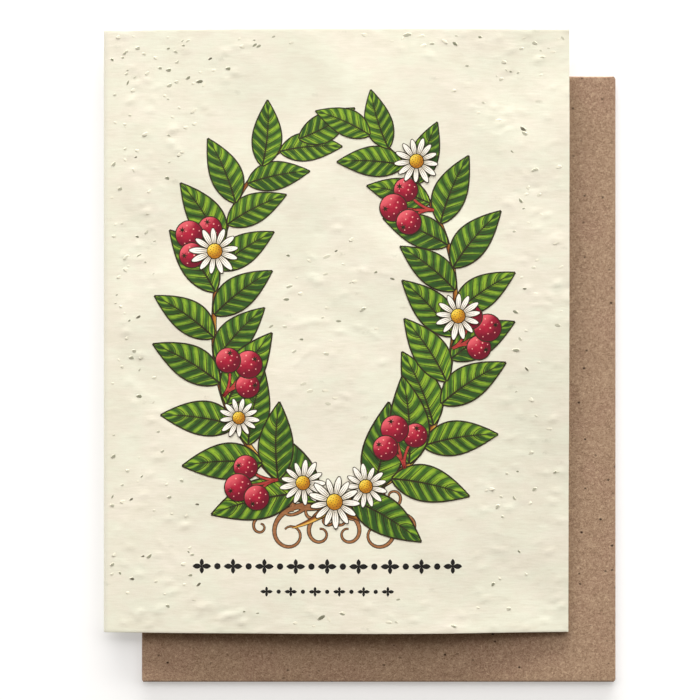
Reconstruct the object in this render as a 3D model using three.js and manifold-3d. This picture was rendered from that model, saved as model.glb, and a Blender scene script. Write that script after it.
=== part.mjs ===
// A folded greeting card of seeded paper, lying on its kraft paper envelope.
//
// Millimetres, +Z up. The origin is under the middle of the set, on the surface that it lies on. +Y is the top of
// the card and the card's fold is its long edge at -X. The envelope lies with its plain side up and its seal flap
// folded under, and shows past the card's right and bottom edges.

import * as THREE from "three";
import { mergeVertices } from "three/addons/utils/BufferGeometryUtils.js";
import Module from "manifold-3d";

// The card: one sheet, folded once. Its fold is sprung, so the front leaf rises from it in a shallow bow.
const CARD_WIDTH = 107.95;
const CARD_HEIGHT = 139.7;
const LEAF = 0.5;
const LEAF_GAP = 0.5;
const LEAF_RISE = 2.2;
const RISE_POWER = 3.4;
const LEAF_STEPS = 24;

// The envelope: one sheet of kraft paper.
const ENVELOPE_WIDTH = 110.5;
const ENVELOPE_HEIGHT = 141.2;
const KRAFT = 0.2;
const POCKET_GAP = 0.45;
const THROAT = 9;
const BACK_PANEL_INSET = 0.2;

// Its end flaps, glued inside, and its seal flap, which turns on a fold along the right edge.
const END_FLAP_WIDTH = 15;
const END_FLAP_TAPER = 3;
const END_FLAP_LEFT = 2;
const END_FLAP_RIGHT = 6;
const SEAL_FLAP_DEPTH = 45;
const SEAL_FLAP_INSET = 1;
const SEAL_FLAP_TAPER = 4;
const SEAL_FLAP_CORNER = 5;
const FLAP_CLEARANCE = 0.15;
const GUM = 0.06;
const GUM_WIDTH = 12;
const GUM_EDGE = 3;
const GUM_END = 9;

// How far the envelope shows past the card's right and bottom sides, centre to centre.
const ENVELOPE_SHIFT_X = 9.98;
const ENVELOPE_SHIFT_Y = 11.14;

// The gap that a turning leaf or flap keeps from its fold.
const HINGE_CLEARANCE = 0.2;
const FOLD_STEPS = 10;

// Seeds and plant flecks in the paper: low lumps, sunk into it, longer than they are wide.
const OUTER_SEEDS = 84;
const INNER_SEEDS = 32;
const SEED_MARGIN = 2.5;
const SEED_SHORTEST = 0.45;
const SEED_LONGEST = 1.15;
const SEED_ASPECT = 0.45;
const SEED_HEIGHT = 0.16;
const SEED_SINK = 0.04;

// Levels above the ground and radii of the folds, all outer faces.
const backLevel = KRAFT + FLAP_CLEARANCE;
const endFlapLevel = backLevel + KRAFT;
const frontLevel = endFlapLevel + KRAFT + POCKET_GAP;
const envelopeTop = frontLevel + KRAFT;
const longFoldRadius = (envelopeTop - backLevel) / 2;
const endFoldRadius = (envelopeTop - endFlapLevel) / 2;
const flapFoldRadius = envelopeTop / 2;
const cardFoldRadius = LEAF + LEAF_GAP / 2;

const setWidth = (CARD_WIDTH + ENVELOPE_WIDTH) / 2 + ENVELOPE_SHIFT_X;
const setHeight = (CARD_HEIGHT + ENVELOPE_HEIGHT) / 2 + ENVELOPE_SHIFT_Y;

const seededPaper = { color: 0xebe7d8, roughness: 0.88, metalness: 0 };
const kraftPaper = { color: 0x9c8068, roughness: 0.85, metalness: 0 };
const driedGum = { color: 0xcabfa6, roughness: 0.35, metalness: 0 };

const wasm = await Module();
wasm.setup();

// One sub-part: a mesh with a material of its own.
function piece(name, geometry, finish) {
  const mesh = new THREE.Mesh(geometry, new THREE.MeshStandardMaterial(finish));
  mesh.name = name;
  return mesh;
}

// A flat sheet of the given outline, lying at a level, with the thickness upwards.
function sheet(outline, thickness, level) {
  const geometry = new THREE.ExtrudeGeometry(outline, { depth: thickness, bevelEnabled: false });
  return geometry.translate(0, 0, level);
}

function rectangle(x0, x1, y0, y1) {
  const outline = new THREE.Shape();
  outline.moveTo(x0, y0);
  outline.lineTo(x1, y0);
  outline.lineTo(x1, y1);
  outline.lineTo(x0, y1);
  return outline;
}

// A profile in X and Z, drawn along Y from -length / 2 to length / 2.
function drawnAlongY(profile, length) {
  const geometry = new THREE.ExtrudeGeometry(profile, {
    depth: length,
    bevelEnabled: false,
    curveSegments: FOLD_STEPS,
  });
  return geometry.rotateX(Math.PI / 2).translate(0, length / 2, 0);
}

// Paper folded back on itself: half a ring, open to +X, with its middle on the Y axis.
function fold(radius, thickness, length) {
  const profile = new THREE.Shape();
  profile.absarc(0, 0, radius, Math.PI / 2, (3 * Math.PI) / 2, false);
  profile.absarc(0, 0, radius - thickness, (3 * Math.PI) / 2, Math.PI / 2, true);
  return drawnAlongY(profile, length);
}

// How high the sprung front leaf stands over a closed one, at a distance from the fold.
function leafLift(distance) {
  const share = distance / (CARD_WIDTH - cardFoldRadius);
  return LEAF_RISE * (1 - (1 - share) ** RISE_POWER);
}

// The front leaf, bowed. The fold's middle is at x = 0, and the leaf's inner face starts level with z = 0.
function bowedLeaf() {
  const start = HINGE_CLEARANCE;
  const end = CARD_WIDTH - cardFoldRadius;
  const distances = [];
  for (let i = 0; i <= LEAF_STEPS; i += 1) {
    distances.push(start + ((end - start) * i) / LEAF_STEPS);
  }
  const profile = new THREE.Shape();
  profile.moveTo(start, leafLift(start));
  for (const x of distances.slice(1)) {
    profile.lineTo(x, leafLift(x));
  }
  for (const x of distances.toReversed()) {
    profile.lineTo(x, leafLift(x) + LEAF);
  }
  return drawnAlongY(profile, CARD_HEIGHT);
}

function solidOf(geometry) {
  const bare = geometry.clone();
  bare.deleteAttribute("normal");
  bare.deleteAttribute("uv");
  const merged = mergeVertices(bare, 1e-4);
  return new wasm.Manifold(
    new wasm.Mesh({
      numProp: 3,
      vertProperties: merged.getAttribute("position").array,
      triVerts: new Uint32Array(merged.getIndex().array),
    }),
  );
}

function geometryOf(solid) {
  const mesh = solid.getMesh();
  const geometry = new THREE.BufferGeometry();
  geometry.setAttribute("position", new THREE.BufferAttribute(mesh.vertProperties, mesh.numProp));
  geometry.setIndex(new THREE.BufferAttribute(mesh.triVerts, 1));
  geometry.computeVertexNormals();
  return geometry;
}

// Point i of an even scatter that never repeats: four shares from 0 to 1, each stepped by a power of one ratio.
function scatter(i) {
  const ratio = 1.1673039782614187;
  return [1, 2, 3, 4].map((power) => (0.5 + i / ratio ** power) % 1);
}

// Seeds over one face of a leaf that spans the card. The face is given by its level at a distance from the fold.
function seeds(count, first, levelAt, side) {
  const reach = CARD_WIDTH - cardFoldRadius - 2 * SEED_MARGIN;
  const lumps = [];
  for (let i = first; i < first + count; i += 1) {
    const [across, up, turn, size] = scatter(i);
    const length = SEED_SHORTEST + (SEED_LONGEST - SEED_SHORTEST) * size ** 2;
    const x = SEED_MARGIN + reach * across;
    const lump = new THREE.IcosahedronGeometry(1, 0);
    lump.scale(length, length * SEED_ASPECT, SEED_HEIGHT);
    lump.rotateZ(Math.PI * turn);
    lump.translate(x, (CARD_HEIGHT - 2 * SEED_MARGIN) * (up - 0.5), levelAt(x) - side * SEED_SINK);
    lumps.push(solidOf(lump));
  }
  return lumps;
}

function withSeeds(leaf, lumps) {
  const solid = lumps.reduce((whole, lump) => whole.add(lump), solidOf(leaf));
  return geometryOf(solid);
}

// The card in its own frame: the middle of the fold is the Y axis, with its underside at z = -cardFoldRadius.
function makeCard() {
  const card = new THREE.Group();
  const inner = LEAF_GAP / 2;
  const reach = CARD_WIDTH - cardFoldRadius;

  const front = withSeeds(bowedLeaf(), [
    ...seeds(OUTER_SEEDS, 1, (x) => leafLift(x) + LEAF, 1),
    ...seeds(INNER_SEEDS, OUTER_SEEDS + 1, leafLift, -1),
  ]);
  const frontLeaf = piece("card_front_leaf", front, seededPaper);
  frontLeaf.position.z = inner;

  const outline = rectangle(0, reach, -CARD_HEIGHT / 2, CARD_HEIGHT / 2);
  const back = withSeeds(
    sheet(outline, LEAF, -LEAF),
    seeds(INNER_SEEDS, OUTER_SEEDS + INNER_SEEDS + 1, () => 0, 1),
  );
  const backLeaf = piece("card_back_leaf", back, seededPaper);
  backLeaf.position.z = -inner;

  card.add(frontLeaf, backLeaf);
  card.add(piece("card_fold", fold(cardFoldRadius, LEAF, CARD_HEIGHT), seededPaper));
  return card;
}

// An end flap of the envelope, tapered to its free edge. Side is 1 for the end at +Y and -1 for the other.
function endFlapOutline(side) {
  const left = -ENVELOPE_WIDTH / 2 + END_FLAP_LEFT;
  const right = ENVELOPE_WIDTH / 2 - END_FLAP_RIGHT;
  const root = side * (ENVELOPE_HEIGHT / 2 - endFoldRadius);
  const free = root - side * END_FLAP_WIDTH;
  const outline = new THREE.Shape();
  outline.moveTo(left, root);
  outline.lineTo(left + END_FLAP_TAPER, free);
  outline.lineTo(right - END_FLAP_TAPER, free);
  outline.lineTo(right, root);
  return outline;
}

// The seal flap from its fold at x = 0 to its free edge at -SEAL_FLAP_DEPTH, with the corners there rounded.
function sealFlapOutline() {
  const root = ENVELOPE_HEIGHT / 2 - SEAL_FLAP_INSET;
  const tip = root - SEAL_FLAP_TAPER;
  const slope = SEAL_FLAP_TAPER / SEAL_FLAP_DEPTH;
  const beforeCorner = tip + slope * SEAL_FLAP_CORNER;
  const outline = new THREE.Shape();
  outline.moveTo(-HINGE_CLEARANCE, -root);
  outline.lineTo(-HINGE_CLEARANCE, root);
  outline.lineTo(-SEAL_FLAP_DEPTH + SEAL_FLAP_CORNER, beforeCorner);
  outline.quadraticCurveTo(-SEAL_FLAP_DEPTH, tip, -SEAL_FLAP_DEPTH, tip - SEAL_FLAP_CORNER);
  outline.lineTo(-SEAL_FLAP_DEPTH, -tip + SEAL_FLAP_CORNER);
  outline.quadraticCurveTo(-SEAL_FLAP_DEPTH, -tip, -SEAL_FLAP_DEPTH + SEAL_FLAP_CORNER, -beforeCorner);
  return outline;
}

// The envelope in its own frame: its middle at x = y = 0, lying on z = 0.
function makeEnvelope() {
  const envelope = new THREE.Group();
  const left = -ENVELOPE_WIDTH / 2 + longFoldRadius;
  const flapFoldX = ENVELOPE_WIDTH / 2 - flapFoldRadius;
  const end = ENVELOPE_HEIGHT / 2 - endFoldRadius;
  const backEnd = ENVELOPE_HEIGHT / 2 - BACK_PANEL_INSET;

  const front = rectangle(left, flapFoldX, -end, end);
  envelope.add(piece("envelope_front_panel", sheet(front, KRAFT, frontLevel), kraftPaper));
  const back = rectangle(left, ENVELOPE_WIDTH / 2 - THROAT, -backEnd, backEnd);
  envelope.add(piece("envelope_back_panel", sheet(back, KRAFT, backLevel), kraftPaper));

  const longFold = fold(longFoldRadius, KRAFT, ENVELOPE_HEIGHT);
  longFold.translate(left, 0, backLevel + longFoldRadius);
  envelope.add(piece("envelope_long_fold", longFold, kraftPaper));

  for (const [place, side] of [["top", 1], ["bottom", -1]]) {
    const flap = sheet(endFlapOutline(side), KRAFT, endFlapLevel);
    envelope.add(piece(`envelope_end_flap_${place}`, flap, kraftPaper));
    const endFold = fold(endFoldRadius, KRAFT, flapFoldX - left).rotateZ((-side * Math.PI) / 2);
    endFold.translate((flapFoldX + left) / 2, side * end, endFlapLevel + endFoldRadius);
    envelope.add(piece(`envelope_end_fold_${place}`, endFold, kraftPaper));
  }

  const sealFlap = new THREE.Group();
  sealFlap.position.x = flapFoldX;
  sealFlap.add(piece("envelope_seal_flap", sheet(sealFlapOutline(), KRAFT, 0), kraftPaper));
  const gumEnd = ENVELOPE_HEIGHT / 2 - GUM_END;
  const gumStart = -SEAL_FLAP_DEPTH + GUM_EDGE;
  const gum = rectangle(gumStart, gumStart + GUM_WIDTH, -gumEnd, gumEnd);
  sealFlap.add(piece("envelope_gum_strip", sheet(gum, GUM, KRAFT), driedGum));
  const flapFold = fold(flapFoldRadius, KRAFT, ENVELOPE_HEIGHT - 2 * SEAL_FLAP_INSET);
  flapFold.rotateZ(Math.PI).translate(0, 0, flapFoldRadius);
  sealFlap.add(piece("envelope_flap_fold", flapFold, kraftPaper));
  envelope.add(sealFlap);
  return envelope;
}

const set = new THREE.Group();
const envelope = makeEnvelope();
envelope.position.set((setWidth - ENVELOPE_WIDTH) / 2, (ENVELOPE_HEIGHT - setHeight) / 2, 0);
const card = makeCard();
card.position.set(
  -setWidth / 2 + cardFoldRadius,
  (setHeight - CARD_HEIGHT) / 2,
  envelopeTop + cardFoldRadius,
);
set.add(envelope, card);

export default set;
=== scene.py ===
"""Looks of a folded greeting card of seeded paper that lies on its kraft paper envelope.

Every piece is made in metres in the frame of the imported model: +Y is the top of the card, +Z is
up, and the card's fold is at -X. The card and the envelope are each one folded sheet, drawn from
one path seen end on, and cut at their folds so that the front leaf and the seal flap can turn. The
print on the front leaf is a wreath of leaves, berries and daisies of plain generic shapes, laid on
the paper as thin inked shapes that follow its surface.
"""

from __future__ import annotations

import logging
import math
from collections.abc import Callable, Iterable, Sequence
from dataclasses import dataclass, field
from enum import Enum

import bpy
import numpy as np
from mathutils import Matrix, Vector


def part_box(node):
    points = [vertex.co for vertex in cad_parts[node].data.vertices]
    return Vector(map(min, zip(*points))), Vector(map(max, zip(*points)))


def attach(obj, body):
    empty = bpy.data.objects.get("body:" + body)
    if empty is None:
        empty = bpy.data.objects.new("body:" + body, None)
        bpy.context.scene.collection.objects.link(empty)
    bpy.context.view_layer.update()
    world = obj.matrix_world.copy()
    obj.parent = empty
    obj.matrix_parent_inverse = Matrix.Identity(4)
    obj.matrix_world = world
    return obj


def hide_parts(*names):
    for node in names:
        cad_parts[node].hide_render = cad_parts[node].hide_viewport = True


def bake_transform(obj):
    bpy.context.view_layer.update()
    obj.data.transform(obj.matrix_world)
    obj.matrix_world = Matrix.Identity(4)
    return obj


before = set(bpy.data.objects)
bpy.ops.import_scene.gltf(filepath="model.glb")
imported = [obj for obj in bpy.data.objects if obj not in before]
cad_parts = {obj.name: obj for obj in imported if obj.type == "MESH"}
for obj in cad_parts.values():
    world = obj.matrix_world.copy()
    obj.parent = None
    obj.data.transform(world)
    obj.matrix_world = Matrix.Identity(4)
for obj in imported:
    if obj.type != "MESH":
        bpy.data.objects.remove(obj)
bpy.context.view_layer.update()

LOG = logging.getLogger("card")
MM = 0.001
SHAPE_MAP = "Shape"

Array = np.ndarray
Colour = tuple[float, float, float]
Socket = bpy.types.NodeSocket
Mesh = bpy.types.Mesh
Material = bpy.types.Material
Object = bpy.types.Object


class Body(str, Enum):
    """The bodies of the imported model."""

    SET = "card_and_envelope"
    FRONT = "front_leaf"
    FLAP = "seal_flap"


class Slot(str, Enum):
    """The record's material slots."""

    SEEDED = "seeded_paper"
    KRAFT = "kraft_paper"
    GUM = "dried_gum"


def linear(red: float, green: float, blue: float) -> Colour:
    """Turns a colour as it is seen on a screen, 0 to 255, into the linear values that shaders use.

    Args:
        red: Red, 0 to 255.
        green: Green, 0 to 255.
        blue: Blue, 0 to 255.

    Returns:
        The linear colour, 0 to 1.
    """
    shares = (value / 255 for value in (red, green, blue))
    toe, slope = 0.04045, 12.92
    return tuple(v / slope if v <= toe else ((v + 0.055) / 1.055) ** 2.4 for v in shares)


# ----------------------------------------------------------------------------------------
# Node trees
# ----------------------------------------------------------------------------------------


class Signal:
    """A number in a node tree. Python's operators on it add Math nodes."""

    def __init__(self, graph: Graph, socket: Socket) -> None:
        """Wraps a socket of a graph."""
        self.graph = graph
        self.socket = socket

    def math(self, operation: str, *others: Signal | float, clamp: bool = False) -> Signal:
        """Adds a Math node whose first value is this signal.

        Args:
            operation: The node's operation.
            others: Its other values.
            clamp: Whether the result is kept from 0 to 1.

        Returns:
            The node's result.
        """
        return self.graph.math(operation, self, *others, clamp=clamp)

    def __add__(self, other: Signal | float) -> Signal:
        """Sum."""
        return self.math("ADD", other)

    def __radd__(self, other: float) -> Signal:
        """Sum, reflected."""
        return self.math("ADD", other)

    def __sub__(self, other: Signal | float) -> Signal:
        """Difference."""
        return self.math("SUBTRACT", other)

    def __rsub__(self, other: float) -> Signal:
        """Difference, reflected."""
        return self.graph.math("SUBTRACT", other, self)

    def __mul__(self, other: Signal | float) -> Signal:
        """Product."""
        return self.math("MULTIPLY", other)

    def __rmul__(self, other: float) -> Signal:
        """Product, reflected."""
        return self.math("MULTIPLY", other)

    def __truediv__(self, other: Signal | float) -> Signal:
        """Quotient."""
        return self.math("DIVIDE", other)

    def __rtruediv__(self, other: float) -> Signal:
        """Quotient, reflected."""
        return self.graph.math("DIVIDE", other, self)

    def __pow__(self, other: Signal | float) -> Signal:
        """Power."""
        return self.math("POWER", other)

    def __rpow__(self, other: float) -> Signal:
        """Power, reflected."""
        return self.graph.math("POWER", other, self)

    def __mod__(self, other: Signal | float) -> Signal:
        """Remainder, never negative."""
        return self.math("FLOORED_MODULO", other)

    def __rmod__(self, other: float) -> Signal:
        """Remainder, reflected."""
        return self.graph.math("FLOORED_MODULO", other, self)

    def abs(self) -> Signal:
        """Size without the sign."""
        return self.math("ABSOLUTE")

    def between(self, low: float, high: float) -> Signal:
        """Goes from 0 at low to 1 at high and no further. Low may be the greater of the two."""
        return ((self - low) * (1 / (high - low))).math("ADD", 0.0, clamp=True)


class Graph:
    """A node tree that is written as expressions."""

    def __init__(self, tree: bpy.types.NodeTree) -> None:
        """Takes the tree that nodes are added to."""
        self.tree = tree

    def node(self, kind: str, inputs: dict | None = None, **settings: object) -> bpy.types.Node:
        """Adds a node.

        Args:
            kind: The node's type.
            inputs: Values or links by socket name or index. A name means the first socket in use
                that has it.
            settings: The node's own settings, which are set first.

        Returns:
            The node.
        """
        node = self.tree.nodes.new(kind)
        for name, value in settings.items():
            setattr(node, name, value)
        for key, value in (inputs or {}).items():
            socket = node.inputs[key] if isinstance(key, int) else self.in_use(node.inputs, key)
            if isinstance(value, Signal):
                value = value.socket
            if isinstance(value, Socket):
                self.tree.links.new(value, socket)
            else:
                socket.default_value = value
        return node

    @staticmethod
    def in_use(sockets: Iterable[Socket], name: str) -> Socket:
        """The first socket with a name that the node's settings leave in use."""
        return next(s for s in sockets if s.name == name and s.enabled)

    def signal(self, node: bpy.types.Node, output: str | int = 0) -> Signal:
        """One of a node's outputs, as a number."""
        if isinstance(output, int):
            return Signal(self, node.outputs[output])
        return Signal(self, self.in_use(node.outputs, output))

    def math(self, operation: str, *values: Signal | float, clamp: bool = False) -> Signal:
        """Adds a Math node.

        Args:
            operation: The node's operation.
            values: Its values, in order.
            clamp: Whether the result is kept from 0 to 1.

        Returns:
            The node's result.
        """
        inputs = dict(enumerate(values))
        node = self.node("ShaderNodeMath", inputs, operation=operation, use_clamp=clamp)
        return self.signal(node)


class ShaderGraph(Graph):
    """A material's nodes, from Object coordinates to one Principled BSDF."""

    noise_roughness = 0.6

    def __init__(self, name: str) -> None:
        """Makes an empty material with a name."""
        self.material = bpy.data.materials.new(name)
        self.material.use_nodes = True
        super().__init__(self.material.node_tree)
        self.tree.nodes.clear()

    def place(self, scale: Sequence[float], turn: float = 0.0) -> Socket:
        """Object coordinates in millimetres, stretched and turned about Z.

        Args:
            scale: How many pattern units one millimetre holds along each axis.
            turn: The turn about Z in radians.

        Returns:
            The coordinates' socket.
        """
        source = self.node("ShaderNodeTexCoord").outputs["Object"]
        size = tuple(value / MM for value in scale)
        inputs = {"Vector": source, "Rotation": (0, 0, turn), "Scale": size}
        return self.node("ShaderNodeMapping", inputs, vector_type="POINT").outputs["Vector"]

    def noise(self, scale: Sequence[float], detail: float = 2.0, turn: float = 0.0) -> Signal:
        """Noise on the object, with the given pattern units to the millimetre along each axis."""
        inputs = {"Vector": self.place(scale, turn), "Scale": 1.0, "Detail": detail}
        inputs["Roughness"] = self.noise_roughness
        return self.signal(self.node("ShaderNodeTexNoise", inputs), 0)

    def cells(self, scale: Sequence[float], turn: float = 0.0) -> tuple[Signal, Signal]:
        """Scattered spots on the object.

        Args:
            scale: How many cells one millimetre holds along each axis.
            turn: The turn about Z in radians.

        Returns:
            The distance from the cell's middle, and a random share for each cell.
        """
        node = self.node("ShaderNodeTexVoronoi", {"Vector": self.place(scale, turn), "Scale": 1.0})
        split = self.node("ShaderNodeSeparateColor", {"Color": node.outputs["Color"]})
        return self.signal(node, "Distance"), self.signal(split, 0)

    def mix(self, share: Signal, first: object, second: object) -> Socket:
        """Mixes two colours, each a colour or a socket, from the first at 0 to the second at 1."""
        colours = [(*c, 1.0) if isinstance(c, tuple) else c for c in (first, second)]
        inputs = {"Factor": share, "A": colours[0], "B": colours[1]}
        node = self.node("ShaderNodeMix", inputs, data_type="RGBA", clamp_factor=True)
        return self.in_use(node.outputs, "Result")

    def uv(self) -> tuple[Signal, Signal]:
        """The two coordinates of the shape's own UV map."""
        source = self.node("ShaderNodeUVMap", uv_map=SHAPE_MAP).outputs["UV"]
        split = self.node("ShaderNodeSeparateXYZ", {"Vector": source})
        return self.signal(split, "X"), self.signal(split, "Y")

    def attribute(self, name: str) -> Signal:
        """A number that the mesh holds."""
        node = self.node("ShaderNodeAttribute", attribute_name=name, attribute_type="GEOMETRY")
        return self.signal(node, "Fac")

    def finish(self, colour: object, roughness: object, bump: Signal | None = None,
               depth: float = 0.0, specular: float = 0.3, glow: float = 0.0) -> Material:
        """Closes the material.

        Args:
            colour: The base colour, a colour or a socket.
            roughness: The roughness, a number or a signal.
            bump: The surface's height, from 0 to 1.
            depth: What a height of 1 stands for, in metres.
            specular: The strength of the sheen.
            glow: The strength of its own white light.

        Returns:
            The material.
        """
        base = (*colour, 1.0) if isinstance(colour, tuple) else colour
        inputs = {"Base Color": base, "Roughness": roughness, "Specular IOR Level": specular}
        if glow:
            inputs |= {"Emission Color": (1.0, 1.0, 1.0, 1.0), "Emission Strength": glow}
        if bump is not None:
            height = {"Height": bump, "Distance": depth, "Strength": 1.0}
            inputs["Normal"] = self.node("ShaderNodeBump", height).outputs["Normal"]
        shader = self.node("ShaderNodeBsdfPrincipled", inputs)
        self.node("ShaderNodeOutputMaterial", {"Surface": shader.outputs["BSDF"]})
        return self.material


class GeometryGraph(Graph):
    """A Geometry Nodes tree with named inputs, whose result becomes a plain mesh."""

    def __init__(self, name: str) -> None:
        """Makes an empty tree with a geometry input, a seed and a geometry output."""
        super().__init__(bpy.data.node_groups.new(name, "GeometryNodeTree"))
        self.sockets: dict[str, str] = {}
        self.start = self.tree.nodes.new("NodeGroupInput")
        self.end = self.tree.nodes.new("NodeGroupOutput")
        self.geometry = self.input("Geometry", "NodeSocketGeometry")
        self.tree.interface.new_socket(
            name="Geometry", in_out="OUTPUT", socket_type="NodeSocketGeometry")
        self.seed = self.number("Seed", "NodeSocketInt")

    def input(self, name: str, kind: str = "NodeSocketFloat") -> Socket:
        """Adds a named input to the tree.

        Args:
            name: The input's name.
            kind: Its socket type.

        Returns:
            The socket that brings it into the tree.
        """
        made = self.tree.interface.new_socket(name=name, in_out="INPUT", socket_type=kind)
        self.sockets[name] = made.identifier
        return self.start.outputs[name]

    def number(self, name: str, kind: str = "NodeSocketFloat") -> Signal:
        """Adds a named input that holds a number."""
        return Signal(self, self.input(name, kind))

    def template(self) -> Socket:
        """Adds the input that names the object to place, and gives its geometry."""
        source = self.input("Template", "NodeSocketObject")
        return self.node("GeometryNodeObjectInfo", {"Object": source}).outputs["Geometry"]

    def random(self, low: Signal | float, high: Signal | float, salt: int) -> Signal:
        """A number from low to high for each point, drawn by the tree's Seed and a salt."""
        inputs = {"Min": low, "Max": high, "Seed": self.seed + salt}
        return self.signal(self.node("FunctionNodeRandomValue", inputs, data_type="FLOAT"), "Value")

    def named(self, name: str) -> Signal:
        """A number that each point of the geometry holds under a name."""
        node = self.node("GeometryNodeInputNamedAttribute", {"Name": name}, data_type="FLOAT")
        return self.signal(node, "Attribute")

    def index(self) -> Signal:
        """Each point's number, from 0."""
        return self.signal(self.node("GeometryNodeInputIndex"))

    def stored(self, points: Socket, name: str, value: Signal) -> Socket:
        """Keeps a number on each point, under a name that later steps can read."""
        inputs = {"Geometry": points, "Name": name, "Value": value}
        kind = {"data_type": "FLOAT", "domain": "POINT"}
        return self.node("GeometryNodeStoreNamedAttribute", inputs, **kind).outputs[0]

    def placed(self, points: Socket, shape: Socket, turn: Signal, along: Signal,
               across: Signal, up: Signal | float = 1.0) -> Socket:
        """Puts a shape on each point.

        Args:
            points: The points.
            shape: The shape's geometry.
            turn: Its turn about Z in radians.
            along: Its scale along its own X axis.
            across: Its scale along its own Y axis.
            up: Its scale along Z.

        Returns:
            The instances.
        """
        spin = self.node("ShaderNodeCombineXYZ", {"Z": turn}).outputs[0]
        rotation = self.node("FunctionNodeEulerToRotation", {"Euler": spin}).outputs[0]
        scale = self.node("ShaderNodeCombineXYZ", {"X": along, "Y": across, "Z": up}).outputs[0]
        inputs = {"Points": points, "Instance": shape, "Rotation": rotation, "Scale": scale}
        return self.node("GeometryNodeInstanceOnPoints", inputs).outputs[0]

    def close(self, geometry: Socket) -> None:
        """Ends the tree: makes the instances real and gives them the Material input."""
        real = self.node("GeometryNodeRealizeInstances", {"Geometry": geometry})
        material = self.input("Material", "NodeSocketMaterial")
        inputs = {"Geometry": real.outputs[0], "Material": material}
        made = self.node("GeometryNodeSetMaterial", inputs)
        self.tree.links.new(made.outputs[0], self.end.inputs[0])

    def run(self, name: str, source: Mesh, **values: object) -> Object:
        """Runs the tree on a mesh.

        Args:
            name: The new piece's name.
            source: The mesh that goes in.
            values: The tree's named inputs, in lower case with spaces written as underscores.

        Returns:
            A plain mesh object with no modifier.
        """
        made = bpy.data.objects.new(name, source)
        bpy.context.scene.collection.objects.link(made)
        modifier = made.modifiers.new("tree", "NODES")
        modifier.node_group = self.tree
        for key, value in values.items():
            modifier[self.sockets[key.replace("_", " ").title()]] = value
        ready = made.evaluated_get(bpy.context.evaluated_depsgraph_get())
        mesh = bpy.data.meshes.new_from_object(ready)
        made.modifiers.clear()
        made.data = mesh
        mesh.name = name
        return made


class AlongBranch(GeometryGraph):
    """Places a template along a line, to its left and right in turn, and one at its end."""

    closing = 0.93
    sizes = (0.9, 1.08)

    def __init__(self) -> None:
        """Builds the tree."""
        super().__init__("along_branch")
        template = self.template()
        count = self.number("Count", "NodeSocketInt")
        splay, jitter = self.number("Splay"), self.number("Jitter")
        base, tip, tiers = self.number("Base Size"), self.number("Tip Size"), self.number("Tiers")
        curve = self.node("GeometryNodeMeshToCurve", {"Mesh": self.geometry}).outputs[0]
        inputs = {"Curve": curve, "Count": count}
        line = self.node("GeometryNodeCurveToPoints", inputs, mode="COUNT")
        index = self.index()
        share = index / (count - 1)
        side = (index % 2) * 2 - 1
        tangent = self.node("ShaderNodeSeparateXYZ", {"Vector": line.outputs["Tangent"]})
        heading = self.math("ARCTAN2", self.signal(tangent, "Y"), self.signal(tangent, "X"))
        opened = splay * share.between(1.0, self.closing)
        turn = heading + side * opened + self.random(-1.0, 1.0, 1) * jitter
        size = (base + (tip - base) * share) * self.random(*self.sizes, 2)
        points = self.stored(line.outputs["Points"], "tier", index % tiers)
        points = self.stored(points, "tone", self.random(0.0, 1.0, 3))
        self.close(self.placed(points, template, turn, size, size * side))


class RingAtPoints(GeometryGraph):
    """Places a ring of templates at each point of a mesh, turned and sized as the point says."""

    sizes = (0.9, 1.06)

    def __init__(self) -> None:
        """Builds the tree."""
        super().__init__("ring_at_points")
        template = self.template()
        count = self.number("Count", "NodeSocketInt")
        radius, jitter = self.number("Radius"), self.number("Jitter")
        inputs = {"Vertices": count, "Radius": radius}
        circle = self.node("GeometryNodeMeshCircle", inputs).outputs[0]
        turn = self.index() * (2 * math.pi) / count + self.random(-1.0, 1.0, 1) * jitter
        size = self.random(*self.sizes, 2)
        ring = self.placed(circle, template, turn, size, size)
        whole = self.named("size")
        self.close(self.placed(self.geometry, ring, self.named("turn"), whole, whole))


class AtPoints(GeometryGraph):
    """Places a template at each point of a mesh, turned, sized and toned as the point says."""

    def __init__(self) -> None:
        """Builds the tree."""
        super().__init__("at_points")
        template = self.template()
        slender, flat = self.number("Slender"), self.number("Flat")
        turn, size = self.named("turn"), self.named("size")
        self.close(self.placed(self.geometry, template, turn, size, size * slender, flat))


# ----------------------------------------------------------------------------------------
# Finishes
# ----------------------------------------------------------------------------------------


# How the seeded paper's fibres run, in pattern units to the millimetre along each axis.
FIBRE = (0.35, 2.4, 1.2)


class InkGraph(ShaderGraph):
    """A printing ink's nodes. The ink has sunk into the paper, whose fibres show in it."""

    roughness = 0.8
    specular = 0.25
    relief = 0.02 * MM

    def __init__(self, name: str) -> None:
        """Makes an empty material with a name, and the fibres."""
        super().__init__(name)
        self.fibre = self.noise(FIBRE, 4)

    def dried(self, colour: Socket) -> Material:
        """Closes the material with the ink's own dull surface."""
        return self.finish(colour, self.roughness, self.fibre, self.relief, self.specular)


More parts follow.
